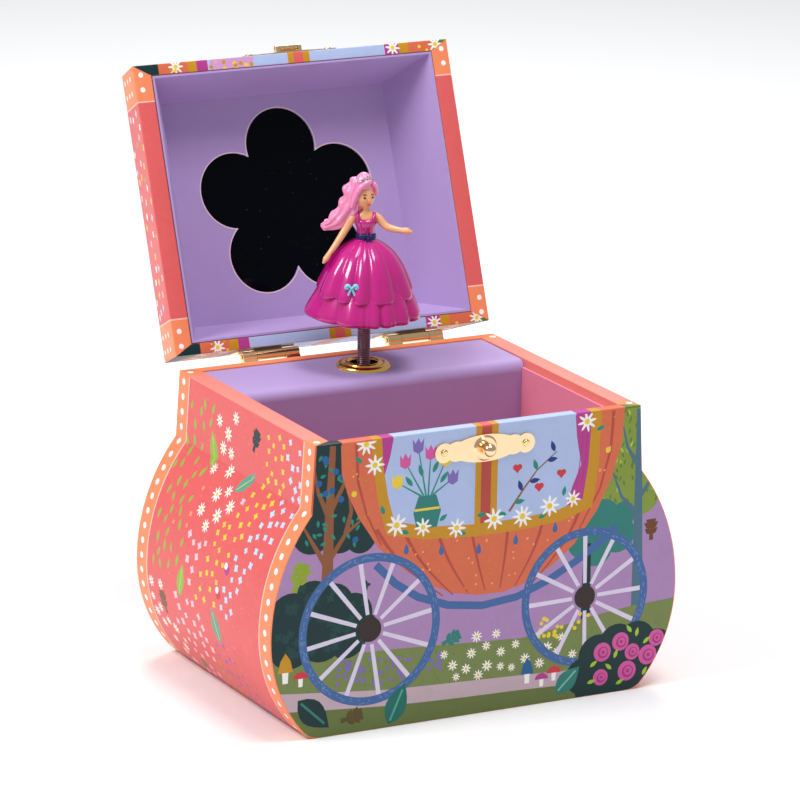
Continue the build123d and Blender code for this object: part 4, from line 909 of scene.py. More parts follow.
def side_sheet(name, side, seed):
    """Side wall's paper, from under the foot over the rim."""
    low, high = corners("front_panel")
    back = corners("back_panel")[1][1]
    top = high[2]
    profile = offset_profile(body_profile(), PAPER)
    neck = body_profile()[-1][0]
    wall = neck - NECK_WALL
    below = [(x, z) for x, z in profile if z < top - BEND - 0.5]
    route = Route(below + [(neck + PAPER, top - BEND)] + rim_route(neck + PAPER, top, wall)[1:])
    face_end = route.marks[len(below)]
    half = (back - low[1]) / 2 + PAPER - BEND
    start = next(m for m, p in zip(route.marks, route.points) if p.y > top - 0.3)
    rim_end = route.marks[-2]
    inner_half = half - PANEL_WALL
    right = [(half, 0.0), (half, start), (inner_half, rim_end), (inner_half, route.marks[-1])]
    outline = right + [(-u, v) for u, v in reversed(right)]
    sheet = Sheet(outline, CORAL)
    side_art(sheet, random.Random(seed), face_end, 2 * half)
    sheet.shape([(-half + 8, start - 0.2), (half - 8, start - 0.2), (half - 8, route.marks[-1] + 1),
                 (-half + 8, route.marks[-1] + 1)], "F58A7C")
    for mark in route.marks[1:-1]:
        sheet.cut((-half - 2, mark), (half + 2, mark))
    piece = sheet.wrap(name, lambda u, v: (side * route.at(v).x, u, route.at(v).y), (side, 0, 0))
    return dress(piece, paper(), "box", "printed_board_side")


def edge_strips(name):
    """Rounded paper edges between the front and back panels and the side walls."""
    profile = body_profile()
    normals = outward_normals(profile)
    low, high = corners("front_panel")
    back = corners("back_panel")[1][1]
    top = high[2]
    pieces = []
    for y_face, direction in ((low[1], -1), (back, 1)):
        for side in (-1, 1):
            rings = []
            for (x, z), n in zip(profile, normals):
                if z > top - BEND:
                    continue
                centre = Vector((x, z)) + n * (PAPER - BEND)
                ring = []
                for i in range(7):
                    a = math.radians(90 * i / 6)
                    out = centre + n * BEND * math.sin(a)
                    ring.append((side * out.x, y_face + direction * (PAPER - BEND + BEND * math.cos(a)),
                                 out.y))
                rings.append(ring)
            points = [p for ring in rings for p in ring]
            faces = []
            for i in range(len(rings) - 1):
                for j in range(6):
                    quad = (i * 7 + j, i * 7 + j + 1, (i + 1) * 7 + j + 1, (i + 1) * 7 + j)
                    faces.append(quad if side * direction < 0 else tuple(reversed(quad)))
            pieces.append(new_object("strip", points, faces))
    piece = join(name, pieces)
    layer = piece.data.color_attributes.new(name="print", type="FLOAT_COLOR", domain="CORNER")
    layer.data.foreach_set("color", list(linear(BAND)) * len(piece.data.loops))
    return dress(piece, paper(), "box", "printed_board_side")


# ---------------------------------------------------------------- lid papers
@functools.lru_cache(maxsize=None)
def lid_joint():
    return next(j for j in frame["joints"] if j["name"] == "lid_hinge")


def lid_point(x, y, z):
    """A point given for the shut lid, put where the open lid has it."""
    joint = lid_joint()
    hinge_y, hinge_z = joint["pos_m"][1] / MM, joint["pos_m"][2] / MM
    turn = math.radians(joint["range_deg"][1])
    dy, dz = y - hinge_y, z - hinge_z
    return (x, hinge_y + dy * math.cos(turn) + dz * math.sin(turn),
            hinge_z - dy * math.sin(turn) + dz * math.cos(turn))


@functools.lru_cache(maxsize=None)
def shut_box(node):
    """Corners of a lid node as if the lid were shut, in millimetres."""
    joint = lid_joint()
    hinge_y, hinge_z = joint["pos_m"][1] / MM, joint["pos_m"][2] / MM
    turn = math.radians(joint["range_deg"][1])
    xs, ys, zs = [], [], []
    for vertex in frame["nodes"][node].data.vertices:
        x, y, z = (v / MM for v in vertex.co)
        dy, dz = y - hinge_y, z - hinge_z
        xs.append(x)
        ys.append(hinge_y + dy * math.cos(turn) - dz * math.sin(turn))
        zs.append(hinge_z + dy * math.sin(turn) + dz * math.cos(turn))
    return (min(xs), min(ys), min(zs)), (max(xs), max(ys), max(zs))


def lid_route(face_low, face_high, inner_low):
    """Down a lid wall's face, round its rim and up its inner side; (across, height) of the shut lid."""
    face, rim = face_low
    roof_face, roof = face_high
    low = rim - RIM_PAPER + LID_BEND
    down = [(roof_face + LID_PAPER, roof + LID_PAPER), (face + LID_PAPER, rim + LID_BEND)]
    outer = arc((face + LID_PAPER - LID_BEND, low), LID_BEND, 0, -90)[1:]
    inner = arc((inner_low - 0.05 + LID_BEND, low), LID_BEND, -90, -180)
    return Route(down + outer + inner + [(inner_low - 0.05, rim + LID_TURN)])


def lid_sheet(name, side, seed):
    """Paper on the lid's front (side -1) or back (side 1) wall and its rim."""
    node = "lid_front_wall" if side < 0 else "lid_back_wall"
    low, high = shut_box(node)
    face = -low[1] if side < 0 else high[1]
    inner = -high[1] if side < 0 else low[1]
    rim, roof = low[2], high[2]
    half_rim = high[0]
    half_roof = shut_box("lid_roof_board")[1][0]
    route = lid_route((face, rim), (face, roof), inner)
    marks = route.marks
    wall = half_rim - NECK_WALL
    right = [(half_roof + 0.05, 0.0), (half_rim + 0.05, marks[1]), (half_rim + 0.05, marks[4]),
             (wall, marks[-3]),
             (wall, marks[-1])]
    sheet = Sheet(right + [(-u, v) for u, v in reversed(right)], ORANGE)
    rng = random.Random(seed)
    window_columns(sheet, -2, marks[-1] + 2)
    for x in (-48, 42, 60):
        daisy(sheet, x, marks[5] + 1.4, 3.2, rng)
    for i in range(16):
        sheet.disc(rng.uniform(-54, -44), rng.uniform(0, marks[-1]), 0.7, rng.choice((OCHRE, YELLOW)),
                   count=8)
        sheet.disc(rng.uniform(49, 58), rng.uniform(0, marks[-1]), 0.7, rng.choice((OCHRE, YELLOW)), count=8)
    if side < 0:
        sheet.shape([(-34, marks[4]), (-16, marks[4]), (-17, marks[-1]), (-34, marks[-1])], "D29BC8")
        for i in range(12):
            sheet.disc(rng.uniform(-34, -17), rng.uniform(marks[4], marks[-2]), 0.8,
                       rng.choice((YELLOW, OCHRE, "E7A9B8")), count=8)
    for i in range(26):
        daisy(sheet, rng.uniform(-56, 56), rng.uniform(2, marks[1] - 3), rng.uniform(1.5, 2.6), rng)
    for mark in marks[1:-1]:
        sheet.cut((-90, mark), (90, mark))

    def place(u, v):
        point = route.at(v)
        return lid_point(u, side * point.x, point.y)

    base, tip = Vector(lid_point(0, 0, 0)), Vector(lid_point(0, side, 0))
    piece = sheet.wrap(name, place, tip - base)
    return dress(piece, paper(), "lid", "printed_board_lid")


def sow(sheet, rng, area, tries, gap, taken=()):
    """Scatters small flowers and leaves over an area (left, right, low, high) without overlaps."""
    places = [(Vector((x, y)), keep) for x, y, keep in taken]
    for i in range(tries):
        place = Vector((rng.uniform(*area[:2]), rng.uniform(*area[2:])))
        if any((place - other).length < max(gap, keep) for other, keep in places):
            continue
        places.append((place, gap))
        colour = rng.choice((PINK, YELLOW, BABY_BLUE, WHITE, LEAF_GREEN))
        if colour == LEAF_GREEN:
            sheet.leaf(place.x, place.y, 4.2, 1.7, rng.uniform(0, 6.3), colour)
        else:
            sheet.bloom(place.x, place.y, 1.6, 4, colour, depth=0.42, turn=rng.uniform(0, 1))


def lid_side_sheet(name, side, seed):
    """Paper on a leaning side wall of the lid and its rim."""
    low, high = shut_box("lid_right_wall")
    roof_high = shut_box("lid_roof_board")[1]
    front_low, front_high = shut_box("lid_front_wall")
    back_low, back_high = shut_box("lid_back_wall")
    half_rim, rim = high[0], low[2]
    route = lid_route((half_rim, rim), (roof_high[0], roof_high[2]), half_rim - NECK_WALL)
    marks = route.marks
    front, back = front_low[1] - 0.05, back_high[1] + 0.05
    inner_front, inner_back = front_high[1], back_low[1]
    outline = [(front, 0.0), (front, marks[4]), (inner_front, marks[-3]), (inner_front, marks[-1]),
               (inner_back, marks[-1]), (inner_back, marks[-3]), (back, marks[4]), (back, 0.0)]
    sheet = Sheet(outline, CORAL)
    rng = random.Random(seed)
    sow(sheet, rng, (front + 16, back - 16, 2, marks[1] - 2), 90, 4.4)
    for a, b in ((front - 1, front + 13.5), (back - 13.5, back + 1)):
        sheet.shape([(a, -1), (b, -1), (b, marks[-1] + 1), (a, marks[-1] + 1)], BAND)
    for y in (front + 13.5, back - 13.5):
        sheet.band([(y, -1), (y, marks[-1] + 1)], 0.5, PALE_LINE)
    for y in (front + 3.5, front + 9, back - 3.5, back - 9):
        for v in (4, 10, 16, marks[4] + 2.6):
            sheet.disc(y, v, 1.0, WHITE, count=12)
    for mark in marks[1:-1]:
        sheet.cut((-80, mark), (80, mark))

    def place(u, v):
        point = route.at(v)
        return lid_point(side * point.x, u, point.y)

    piece = sheet.wrap(name, place, (side, 0, 0))
    return dress(piece, paper(), "lid", "printed_board_lid")


def roof_sheet(name, seed):
    """Paper on the lid's roof: flowers on coral with a banded edge."""
    high = shut_box("lid_roof_board")[1]
    front, back = shut_box("lid_front_wall")[0][1], shut_box("lid_back_wall")[1][1]
    half, height = high[0] + 0.05, high[2] + 0.1
    middle = (front + back) / 2
    sheet = Sheet([(-half, front), (half, front), (half, back), (-half, back)], CORAL)
    rng = random.Random(seed)
    big = [(-32, 24), (27, -18), (-16, -27), (33, 26), (0, 6), (-36, -8), (4, 34)]
    sow(sheet, rng, (-half + 9, half - 9, front + 9, back - 9), 520, 4.6,
        [(x, middle + y, 8.5) for x, y in big])
    for x, y in big:
        sheet.bloom(x, middle + y, 6.5, 9, WHITE, depth=0.62, heart=YELLOW)
    for a, b, c, d in ((-half, -half + 7, front, back), (half - 7, half, front, back),
                       (-half, half, front, front + 7), (-half, half, back - 7, back)):
        sheet.shape([(a, c), (b, c), (b, d), (a, d)], BAND)
    piece = sheet.wrap(name, lambda u, v: lid_point(u, v, height),
                       Vector(lid_point(0, 0, 1)) - Vector(lid_point(0, 0, 0)))
    return dress(piece, paper(), "lid", "printed_board_lid")


FLOWER_RING = 22.3      # distance of a petal's centre from the flower's centre
PETAL_RADIUS = 14.2
PETALS = 5
CARD = 0.8              # thickness of the lining card


def card_edge(name):
    """Pale cut edge of the lining card round the mirror's five petals."""
    half_turn = math.pi / PETALS
    reach = FLOWER_RING * math.cos(half_turn) + math.sqrt(
        PETAL_RADIUS**2 - (FLOWER_RING * math.sin(half_turn)) ** 2)
    sweep = math.atan2(reach * math.sin(half_turn), reach * math.cos(half_turn) - FLOWER_RING)
    under = shut_box("lid_mirror")[0][2] - CARD - 0.03
    middle = (shut_box("lid_front_wall")[0][1] + shut_box("lid_back_wall")[1][1]) / 2
    points, steps = [], 36
    for i in range(PETALS):
        lean = -math.pi / 2 + 2 * math.pi * i / PETALS
        centre = Vector((math.cos(lean), math.sin(lean))) * FLOWER_RING
        for step in range(steps + 1):
            a = lean + sweep * 0.965 * (2 * step / steps - 1)
            out = Vector((math.cos(a), math.sin(a)))
            points += [centre + out * PETAL_RADIUS, centre + out * (PETAL_RADIUS + 0.42)]
        tip = Vector((math.cos(lean + half_turn), math.sin(lean + half_turn)))
        points += [tip * reach, tip * (reach + 0.9)]
    count = len(points) // 2
    faces = [(2 * i, 2 * i + 1, (2 * i + 3) % len(points), (2 * i + 2) % len(points)) for i in range(count)]
    placed = [lid_point(p.x, middle + p.y, under) for p in points]
    ahead = Vector(lid_point(0, 0, -1)) - Vector(lid_point(0, 0, 0))
    a, b, c = (Vector(placed[i]) for i in faces[0][:3])
    if (b - a).cross(c - a).dot(ahead) < 0:
        faces = [tuple(reversed(face)) for face in faces]
    piece = new_object(name, placed, faces)
    return dress(piece, material("card_edge", "E9CFDD", roughness=0.7), "lid", "lilac_paper")


# ---------------------------------------------------------------- doll
@functools.lru_cache(maxsize=None)
def doll_frame():
    """Place of the doll's axis and the platform's top."""
    low, high = corners("coil_spring")
    top = corners("platform_cover")[1][2]
    return (low[0] + high[0]) / 2, (low[1] + high[1]) / 2, top


def doll_point(across, deep, height, turn):
    """A point of the doll: across to her left hand's side, deep to her back, height over the platform."""
    x, y, top = doll_frame()
    c, s = math.cos(turn), math.sin(turn)
    return (x + across * c - deep * s, y + across * s + deep * c, top + height)


def fold_wave(angle, seed, folds):
    """Uneven folds round a skirt: rounded lobes with sharp creases between them, from 0 to 1."""
    warped = angle + 0.30 * math.sin(angle * 2 + seed) + 0.13 * math.sin(angle * 3 + 2.1 * seed)
    broad = abs(math.sin(warped * folds / 2 + seed))
    fine = abs(math.sin(warped * folds * 1.5 / 2 + 2.3 * seed))
    swell = 0.5 + 0.5 * math.sin(angle * 2 + 1.7 * seed)
    return broad**0.6 * (0.62 + 0.22 * swell) + 0.26 * fine * (1 - 0.7 * swell)


def skirt(name, profile, folds, depth, seed, turn, dip, lean, tilt, scallop, wall=0.7):
    """A moulded skirt tier with folds; profile is (radius, height) from the waist to the hem."""
    segments, steps = 240, 7
    fine = []
    for i in range(len(profile) - 1):
        for k in range(steps):
            t = k / steps
            before, a = Vector(profile[max(i - 1, 0)]), Vector(profile[i])
            b, after = Vector(profile[i + 1]), Vector(profile[min(i + 2, len(profile) - 1)])
            fine.append(0.5 * (2 * a + (b - before) * t + (2 * before - 5 * a + 4 * b - after) * t * t
                               + (3 * a - before - 3 * b + after) * t**3))
    fine.append(Vector(profile[-1]))
    rings = []
    for surface in (0, 1):
        order = fine if surface == 0 else list(reversed(fine))
        for place in order:
            share = (profile[0][1] - place.y) / (profile[0][1] - profile[-1][1])
            share = min(max(share, 0.0), 1.0)
            ring = []
            for j in range(segments):
                a = 2 * math.pi * j / segments
                wave = (fold_wave(a, seed, folds) - 0.9) * depth * (0.16 + 0.84 * share ** 0.9)
                radius = max(place.x + wave - (wall if surface else 0), 0.8)
                front = 0.5 + 0.5 * math.cos(a + math.pi / 2)
                height = place.y - dip * share**2 * front - tilt * share**2 * math.cos(a)
                height += scallop * share**3 * (0.6 - fold_wave(a, seed, folds))
                height -= wall * 0.4 if surface and share < 0.97 else 0
                across = radius * math.cos(a) - lean * share
                ring.append(doll_point(across, radius * math.sin(a), height, turn))
            rings.append(ring)
    count = len(rings[0])
    points = [p for ring in rings for p in ring]
    faces = []
    total = len(rings)
    for i in range(total):
        k = (i + 1) % total
        for j in range(count):
            m = (j + 1) % count
            faces.append((i * count + j, i * count + m, k * count + m, k * count + j))
    return face_outwards(new_object(name, points, faces))


def oval_loft(name, sections, turn, sides=48):
    """Body shape from level ovals of (half across, half deep, across, deep, height)."""
    rings = []
    for half_across, half_deep, across, deep, height in sections:
        rings.append([
            doll_point(across + half_across * math.cos(2 * math.pi * j / sides),
                       deep + half_deep * math.sin(2 * math.pi * j / sides), height, turn)
            for j in range(sides)
        ])
    return loft(name, rings)


def make_hair(turn):
    """Long wavy hair that sweeps to one side."""
    spine = [(-0.4, 1.3, 70.4, 0.5), (-0.7, 1.4, 69.9, 2.5), (-1.3, 1.5, 68.5, 4.2), (-2.2, 1.6, 66.2, 5.0),
             (-3.5, 1.8, 63.4, 4.9),
             (-4.9, 1.8, 60.4, 4.1), (-7.2, 1.5, 57.4, 3.7), (-10.0, 1.0, 54.8, 3.2), (-12.8, 0.6, 53.0, 2.3),
             (-15.0, 0.3, 52.6, 1.7), (-16.4, 0.2, 52.8, 0.5)]
    sides, rings = 60, []
    fine = []
    for i in range(len(spine) - 1):
        for k in range(7):
            t = k / 7
            fine.append([a + (b - a) * t for a, b in zip(spine[i], spine[i + 1])])
    fine.append(list(spine[-1]))
    for i, (across, deep, height, radius) in enumerate(fine):
        a = fine[max(i - 2, 0)]
        b = fine[min(i + 2, len(fine) - 1)]
        along = Vector((b[0] - a[0], b[1] - a[1], b[2] - a[2])).normalized()
        side = Vector((0, 1, 0))
        other = along.cross(side).normalized()
        ring = []
        for j in range(sides):
            angle = 2 * math.pi * j / sides
            strands = min(i / 24, 1.0)
            wave = 1.0 - 0.2 * strands + 0.34 * strands * abs(math.sin(4.0 * angle + 0.1 * i)) ** 0.7
            wave += strands * (0.09 * math.sin(0.5 * i + 1.2) + 0.06 * math.sin(0.5 * i + 3 * angle))
            r = radius * wave
            shift = side * r * 0.8 * math.cos(angle) + other * r * math.sin(angle)
            ring.append(doll_point(across + shift.x, deep + shift.y, height + shift.z, turn))
        rings.append(ring)
    return loft("hair_sweep", rings)


CAMERA_PLACE = (-0.8320, -1.5555, 0.5906)
CAMERA_AROUND = math.radians(27.99)
CAMERA_ABOVE = math.radians(15.6)
CAMERA_ROLL = math.radians(1.04)
CAMERA_LENS = 228.1
CAMERA_SHIFT = (0.0066, 0.014)
LAMPS = (("key", (-1.0, 0.05, 1.15), 0.5), ("fill", (0.1, -0.25, 1.35), 0.5), ("back", (0.5, 0.9, 1.2), 0.6))


# ---------------------------------------------------------------- add-on
class PrintSettings(bpy.types.PropertyGroup):
    """Settings of the printed papers."""
    seed: IntProperty(name="Seed", description="Changes where the small flowers fall", default=11)


class DollSettings(bpy.types.PropertyGroup):
    """Settings of the doll and her spring."""
    turn: FloatProperty(name="Turn", description="How far the doll has turned", default=math.radians(-28),
                        unit="ROTATION", subtype="ANGLE")
    fold_depth: FloatProperty(name="Fold depth", description="How deep the skirt's folds are",
                              default=0.0032, unit="LENGTH", subtype="DISTANCE")
    wire: FloatProperty(name="Wire", description="Radius of the spring's wire", default=0.00034,
                        unit="LENGTH", subtype="DISTANCE")
    coils: IntProperty(name="Coils", description="Number of turns in the spring", default=42)


class StageSettings(bpy.types.PropertyGroup):
    """Settings of the studio."""
    key_power: FloatProperty(name="Key light", description="Strength of the main light", default=12.0,
                             unit="POWER")
    fill_power: FloatProperty(name="Fill light", description="Strength of the second light", default=8.5,
                              unit="POWER")


class JBOX_OT_finishes(bpy.types.Operator):
    """Give the CAD pieces their finishes"""
    bl_idname = "jbox.finishes"
    bl_label = "Finish CAD Pieces"

    def execute(self, context):
        lilac = material("lilac_lining", "B096CC", roughness=0.62, grain=1500.0, variation=0.07, bump=0.25,
                         sheen=0.1)
        finishes = {
            "board_edge": material("board_paper", "EE7C5C", roughness=0.5, grain=800.0),
            "base_board": material("base_paper", "9B7FA6", roughness=0.8, grain=900.0),
            "rail_wood": material("soft_wood", "C69C63", roughness=0.7, grain=300.0, variation=0.3),
            "pink_liner": material("pink_lining", "EE8FA8", roughness=0.6, grain=1300.0, variation=0.06,
                                   bump=0.2),
            "lilac_paper": lilac,
            "gold_fitting": gold(),
            "rose_gold_fitting": rose_gold(),
            "mirror_glass": mirror_material(),
            "movement_brass": material("brass", "C9A24B", metallic=1.0, roughness=0.3),
            "movement_steel": material("steel", "B9BABD", metallic=1.0, roughness=0.3),
            "spring_steel": material("blue_steel", "7E828C", metallic=1.0, roughness=0.3),
            "pinion_plastic": material("white_plastic", "E6E3D8", roughness=0.4),
            "fan_plastic": material("black_plastic", "2A2A2C", roughness=0.5),
        }
        for part in frame["record"]["subparts"]:
            slot = part["material_slot"]
            key = "board_edge" if slot.startswith("printed_board") else slot
            if key not in finishes:
                continue
            mesh = frame["nodes"][part["node"]].data
            mesh.materials.clear()
            mesh.materials.append(finishes[key])
        grommet = material("bright_gold", "F3CB62", metallic=1.0, roughness=0.18)
        mesh = frame["nodes"]["spindle_grommet"].data
        mesh.materials.clear()
        mesh.materials.append(grommet)
        return {"FINISHED"}


class JBOX_OT_box_papers(bpy.types.Operator):
    """Paper the box with its printed sheets"""
    bl_idname = "jbox.box_papers"
    bl_label = "Paper the Box"

    def execute(self, context):
        seed = context.scene.jbox_print.seed
        box_sheet("front_paper", -1, front_art, LILAC, seed, "printed_board_front")
        box_sheet("back_paper", 1, back_art, LILAC, seed + 1, "printed_board_front")
        side_sheet("left_paper", -1, seed + 2)
        side_sheet("right_paper", 1, seed + 3)
        edge_strips("edge_papers")
        return {"FINISHED"}


class JBOX_OT_lid_papers(bpy.types.Operator):
    """Paper the lid with its printed sheets"""
    bl_idname = "jbox.lid_papers"
    bl_label = "Paper the Lid"

    def execute(self, context):
        seed = context.scene.jbox_print.seed
        lid_sheet("lid_front_paper", -1, seed + 4)
        lid_sheet("lid_back_paper", 1, seed + 5)
        lid_side_sheet("lid_left_paper", -1, seed + 6)
        lid_side_sheet("lid_right_paper", 1, seed + 7)
        roof_sheet("lid_roof_paper", seed + 8)
        card_edge("card_edge")
        return {"FINISHED"}


class JBOX_OT_spring(bpy.types.Operator):
    """Wind the coil spring under the doll"""
    bl_idname = "jbox.spring"
    bl_label = "Wind the Spring"

    def execute(self, context):
        settings = context.scene.jbox_doll
        low, high = corners("coil_spring")
        x, y, top = doll_frame()
        wire = settings.wire / MM
        radius = (high[0] - low[0]) / 2 - wire
        steps, sides = settings.coils * 22, 8
        climb = high[2] - low[2] - 2 * wire
        rings = []
        for i in range(steps + 1):
            a = 2 * math.pi * settings.coils * i / steps
            out = Vector((math.cos(a), math.sin(a), 0))
            middle = Vector((x, y, low[2] + wire + climb * i / steps)) + out * radius
            rings.append([tuple(middle + out * wire * math.cos(2 * math.pi * j / sides)
                                + Vector((0, 0,
                                          wire * math.sin(2 * math.pi * j / sides)))) for j in range(sides)])
        piece = loft("spring_coil", rings)
        piece.data.materials.append(material("spring_wire", "A3848E", metallic=1.0, roughness=0.28))
        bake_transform(piece)
        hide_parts("coil_spring")
        return {"FINISHED"}


class JBOX_OT_skirt(bpy.types.Operator):
    """Mould the two tiers of the doll's skirt"""
    bl_idname = "jbox.skirt"
    bl_label = "Mould the Skirt"

    def execute(self, context):
        settings = context.scene.jbox_doll
        turn, depth = settings.turn, settings.fold_depth / MM
        glossy = magenta()
        upper = skirt("skirt_upper", [(3.1, 48.4), (4.2, 47.9), (7.4, 46.2), (11.2, 43.2), (14.8, 38.8),
                                      (17.3, 34.4),
                                      (18.9, 31.2), (18.9, 30.0), (17.9, 29.4)], 10, depth, 3, turn, 2.4,
                                      0.6, 0.9, 1.1)
        dress(upper, glossy, "doll", "skirt_magenta", "skirt_upper_tier")
        lower = skirt("skirt_lower", [(13.0, 34.0), (16.4, 31.0), (18.6, 27.6), (20.4, 24.4), (21.5, 22.0),
                                      (21.4, 20.6), (20.6, 20.2)], 12, depth * 0.85, 8, turn, 1.0, 0.6,
                                      0.3, 0.2)
        dress(lower, glossy, "doll", "skirt_magenta", "skirt_lower_tier")
        return {"FINISHED"}


class JBOX_OT_doll(bpy.types.Operator):
    """Model the doll's body, arms, head, hair, tiara and bows"""
    bl_idname = "jbox.doll"
    bl_label = "Model the Doll"

    def execute(self, context):
        turn = context.scene.jbox_doll.turn
        glossy = magenta()
        skin = material("doll_skin", "F0B07C", roughness=0.32, coat=0.3)
        blue = material("navy_plastic", "141F5A", roughness=0.25, coat=0.15, specular=0.3)
        pale_blue = material("sky_plastic", "7FDDF2", roughness=0.25, coat=0.4)
        pink = material("hair_plastic", "F08FBA", roughness=0.3, coat=0.5, coat_roughness=0.12)
        silver = material("silver_plastic", "C9C2C6", metallic=1.0, roughness=0.25)

        chest = oval_loft("chest", [(2.6, 2.0, 0, 0, 52.6), (3.5, 2.6, 0, 0, 54.8), (3.9, 2.5, 0, 0, 56.4),
                                    (3.5, 2.1, 0, 0.1, 57.4), (2.2, 1.7, 0, 0.1, 58.1),
                                    (1.35, 1.3, 0, 0.1, 58.8),
                                    (1.25, 1.25, 0, 0.1, 59.8), (1.4, 1.4, 0, 0.1, 61.0)], turn)
        bodice = oval_loft("bodice", [(3.2, 2.7, 0, 0, 48.9), (3.1, 2.7, 0, 0, 50.0),
                                      (3.5, 3.1, 0, -0.1, 52.4),
                                      (4.1, 3.5, 0, -0.3, 54.4), (3.9, 3.1, 0, -0.2, 55.6)], turn)
        straps = []
        for side in (-1, 1):
            line = [(side * 2.8, -3.0, 54.8), (side * 3.0, -2.2, 56.8), (side * 3.0, 0, 57.8),
                    (side * 2.9, 2.0, 56.5), (side * 2.7, 2.7, 54.9)]
            straps.append(tube("strap", [doll_point(*p, turn) for p in line], [0.7] * 5, 12))
        for across in (-1.9, 0.0, 1.9):
            line = [(across * 0.85, -2.9, 50.0), (across * 0.95, -3.35, 52.4), (across * 1.1, -3.55, 55.2)]
            straps.append(tube("seam", [doll_point(*p, turn) for p in line], [0.16, 0.2, 0.16], 8))
        dress(join("bodice", [bodice] + straps), glossy, "doll", "skirt_magenta")

        arms = {
            "left": ([(-3.0, 0, 57.0), (-4.9, -0.4, 55.6), (-7.6, -1.4, 51.2), (-11.0, -3.6, 46.0),
                      (-12.8, -4.8, 43.6),
                      (-14.2, -5.8, 41.6), (-15.2, -6.4, 39.9)], [1.1, 1.5, 1.35, 1.15, 0.95, 1.1, 0.4],
                     "left_arm"),
            "right": ([(3.0, 0, 57.2), (4.8, -0.3, 55.6), (7.0, -0.9, 53.3), (9.6, -1.4, 52.2),
                       (12.6, -2.0, 51.8),
                       (15.0, -2.5, 51.7), (17.0, -2.8, 51.3)], [1.1, 1.5, 1.35, 1.25, 1.0, 1.2, 0.5],
                       "right_arm"),
        }
        for name, (line, radii, node) in arms.items():
            arm = tube(name + "_arm_skin", [doll_point(*p, turn) for p in line], radii)
            palm = line[-2]
            lean = 1.0 if name == "right" else -0.4
            thumb = tube("thumb", [doll_point(*palm, turn),
                                   doll_point(palm[0] + 0.7 * lean, palm[1] - 0.5, palm[2] + 1.3, turn)],
                         [0.5, 0.28], 10)
            dress(join(name + "_arm_skin", [arm, thumb]), skin, "doll", "doll_plastic", node)

        belt = oval_loft("belt", [(3.5, 3.0, 0, 0, 48.1), (3.9, 3.4, 0, 0, 48.4), (3.75, 3.25, 0, 0, 49.9),
                                  (3.3, 2.9, 0, 0, 50.2)], turn)
        dress(belt, blue, "doll", "belt_blue", "waist_belt")

        look = turn + math.radians(26)
        c, s = math.cos(look - turn), math.sin(look - turn)

        def head_point(across, deep, height):
            """A point round the head, whose front is turned to one side."""
            return doll_point(-0.5 + across * c - deep * s, 0.1 + across * s + deep * c, 63.5 + height, turn)

        rings, sides = [], 40
        for i in range(1, 24):
            v = math.pi * i / 24
            height = 4.3 * math.cos(v)
            narrow = 1.0 - (0.20 * max(-height, 0) / 4.3)
            ring = []
            for j in range(sides):
                a = 2 * math.pi * j / sides
                r = math.sin(v)
                ring.append(head_point(3.7 * r * narrow * math.cos(a),
                                       3.7 * r * narrow * math.sin(a) - 0.35 * max(-height, 0) / 4.3, height))
            rings.append(ring)
        head = loft("head_skin", rings)
        nose = ball("nose", head_point(0, -3.85, -0.5), (0.36, 0.42, 0.62), 16, 10)
        skin_head = join("head_skin", [head, nose])
        dress(skin_head, skin, "doll", "doll_plastic", "head")
        dress(chest, skin, "doll", "doll_plastic", "torso", "doll_stem")

        eyes = []
        for side in (-1, 1):
            eyes.append(ball("eye", head_point(side * 1.5, -3.25, 0.4), (0.6, 0.36, 0.44), 16, 10))
            eyes.append(tube("brow", [head_point(side * a, -3.55 + 0.2 * a, h) for a, h in
                                      ((0.8, 1.4), (1.5, 1.65), (2.2, 1.35))], [0.12, 0.16, 0.1], 8))
        dress(join("eyes", eyes), material("eye_brown", "2A1A16", roughness=0.3, coat=0.3), "doll",
              "doll_plastic")
        lips = ball("lips", head_point(0, -3.5, -2.2), (0.85, 0.34, 0.36), 16, 10)
        dress(lips, material("lip_red", "DE5A34", roughness=0.35), "doll", "doll_plastic")

        sweep = make_hair(turn)
        cap_rings = []
        for i in range(1, 22):
            v = math.pi * 0.62 * i / 21
            ring = []
            for j in range(48):
                a = 2 * math.pi * j / 48
                r = math.sin(v)
                front = max(-math.sin(a), 0)
                pull = 1.0 - 0.55 * front * max(0.0, (v - 0.85))
                wave = 0.97 + 0.06 * abs(math.sin(6.5 * a + 0.5 * v))
                ring.append(head_point(4.25 * r * wave * pull * math.cos(a),
                                       0.9 + 4.35 * r * wave * pull * math.sin(a),
                                       1.6 + 7.5 * math.cos(v)))
            cap_rings.append(ring)
        cap = loft("hair_cap", cap_rings)
        lock = tube("lock", [head_point(2.2, -2.7, 5.4), head_point(3.6, -1.2, 3.6),
                             head_point(4.3, 0.2, 1.0),
                             head_point(3.8, 1.6, -1.4)], [0.8, 1.0, 0.9, 0.3], 16)
        fringe = tube("fringe", [head_point(1.2, -2.5, 6.2), head_point(-1.8, -2.8, 5.2),
                                 head_point(-3.7, -1.9, 2.8),
                                 head_point(-4.4, -0.7, -0.4), head_point(-4.6, 0.4, -3.4)],
                      [0.8, 1.0, 1.1, 1.3, 1.1], 16)
        dress(join("hair_mould", [sweep, cap, lock, fringe]), pink, "doll", "hair_pink", "hair")

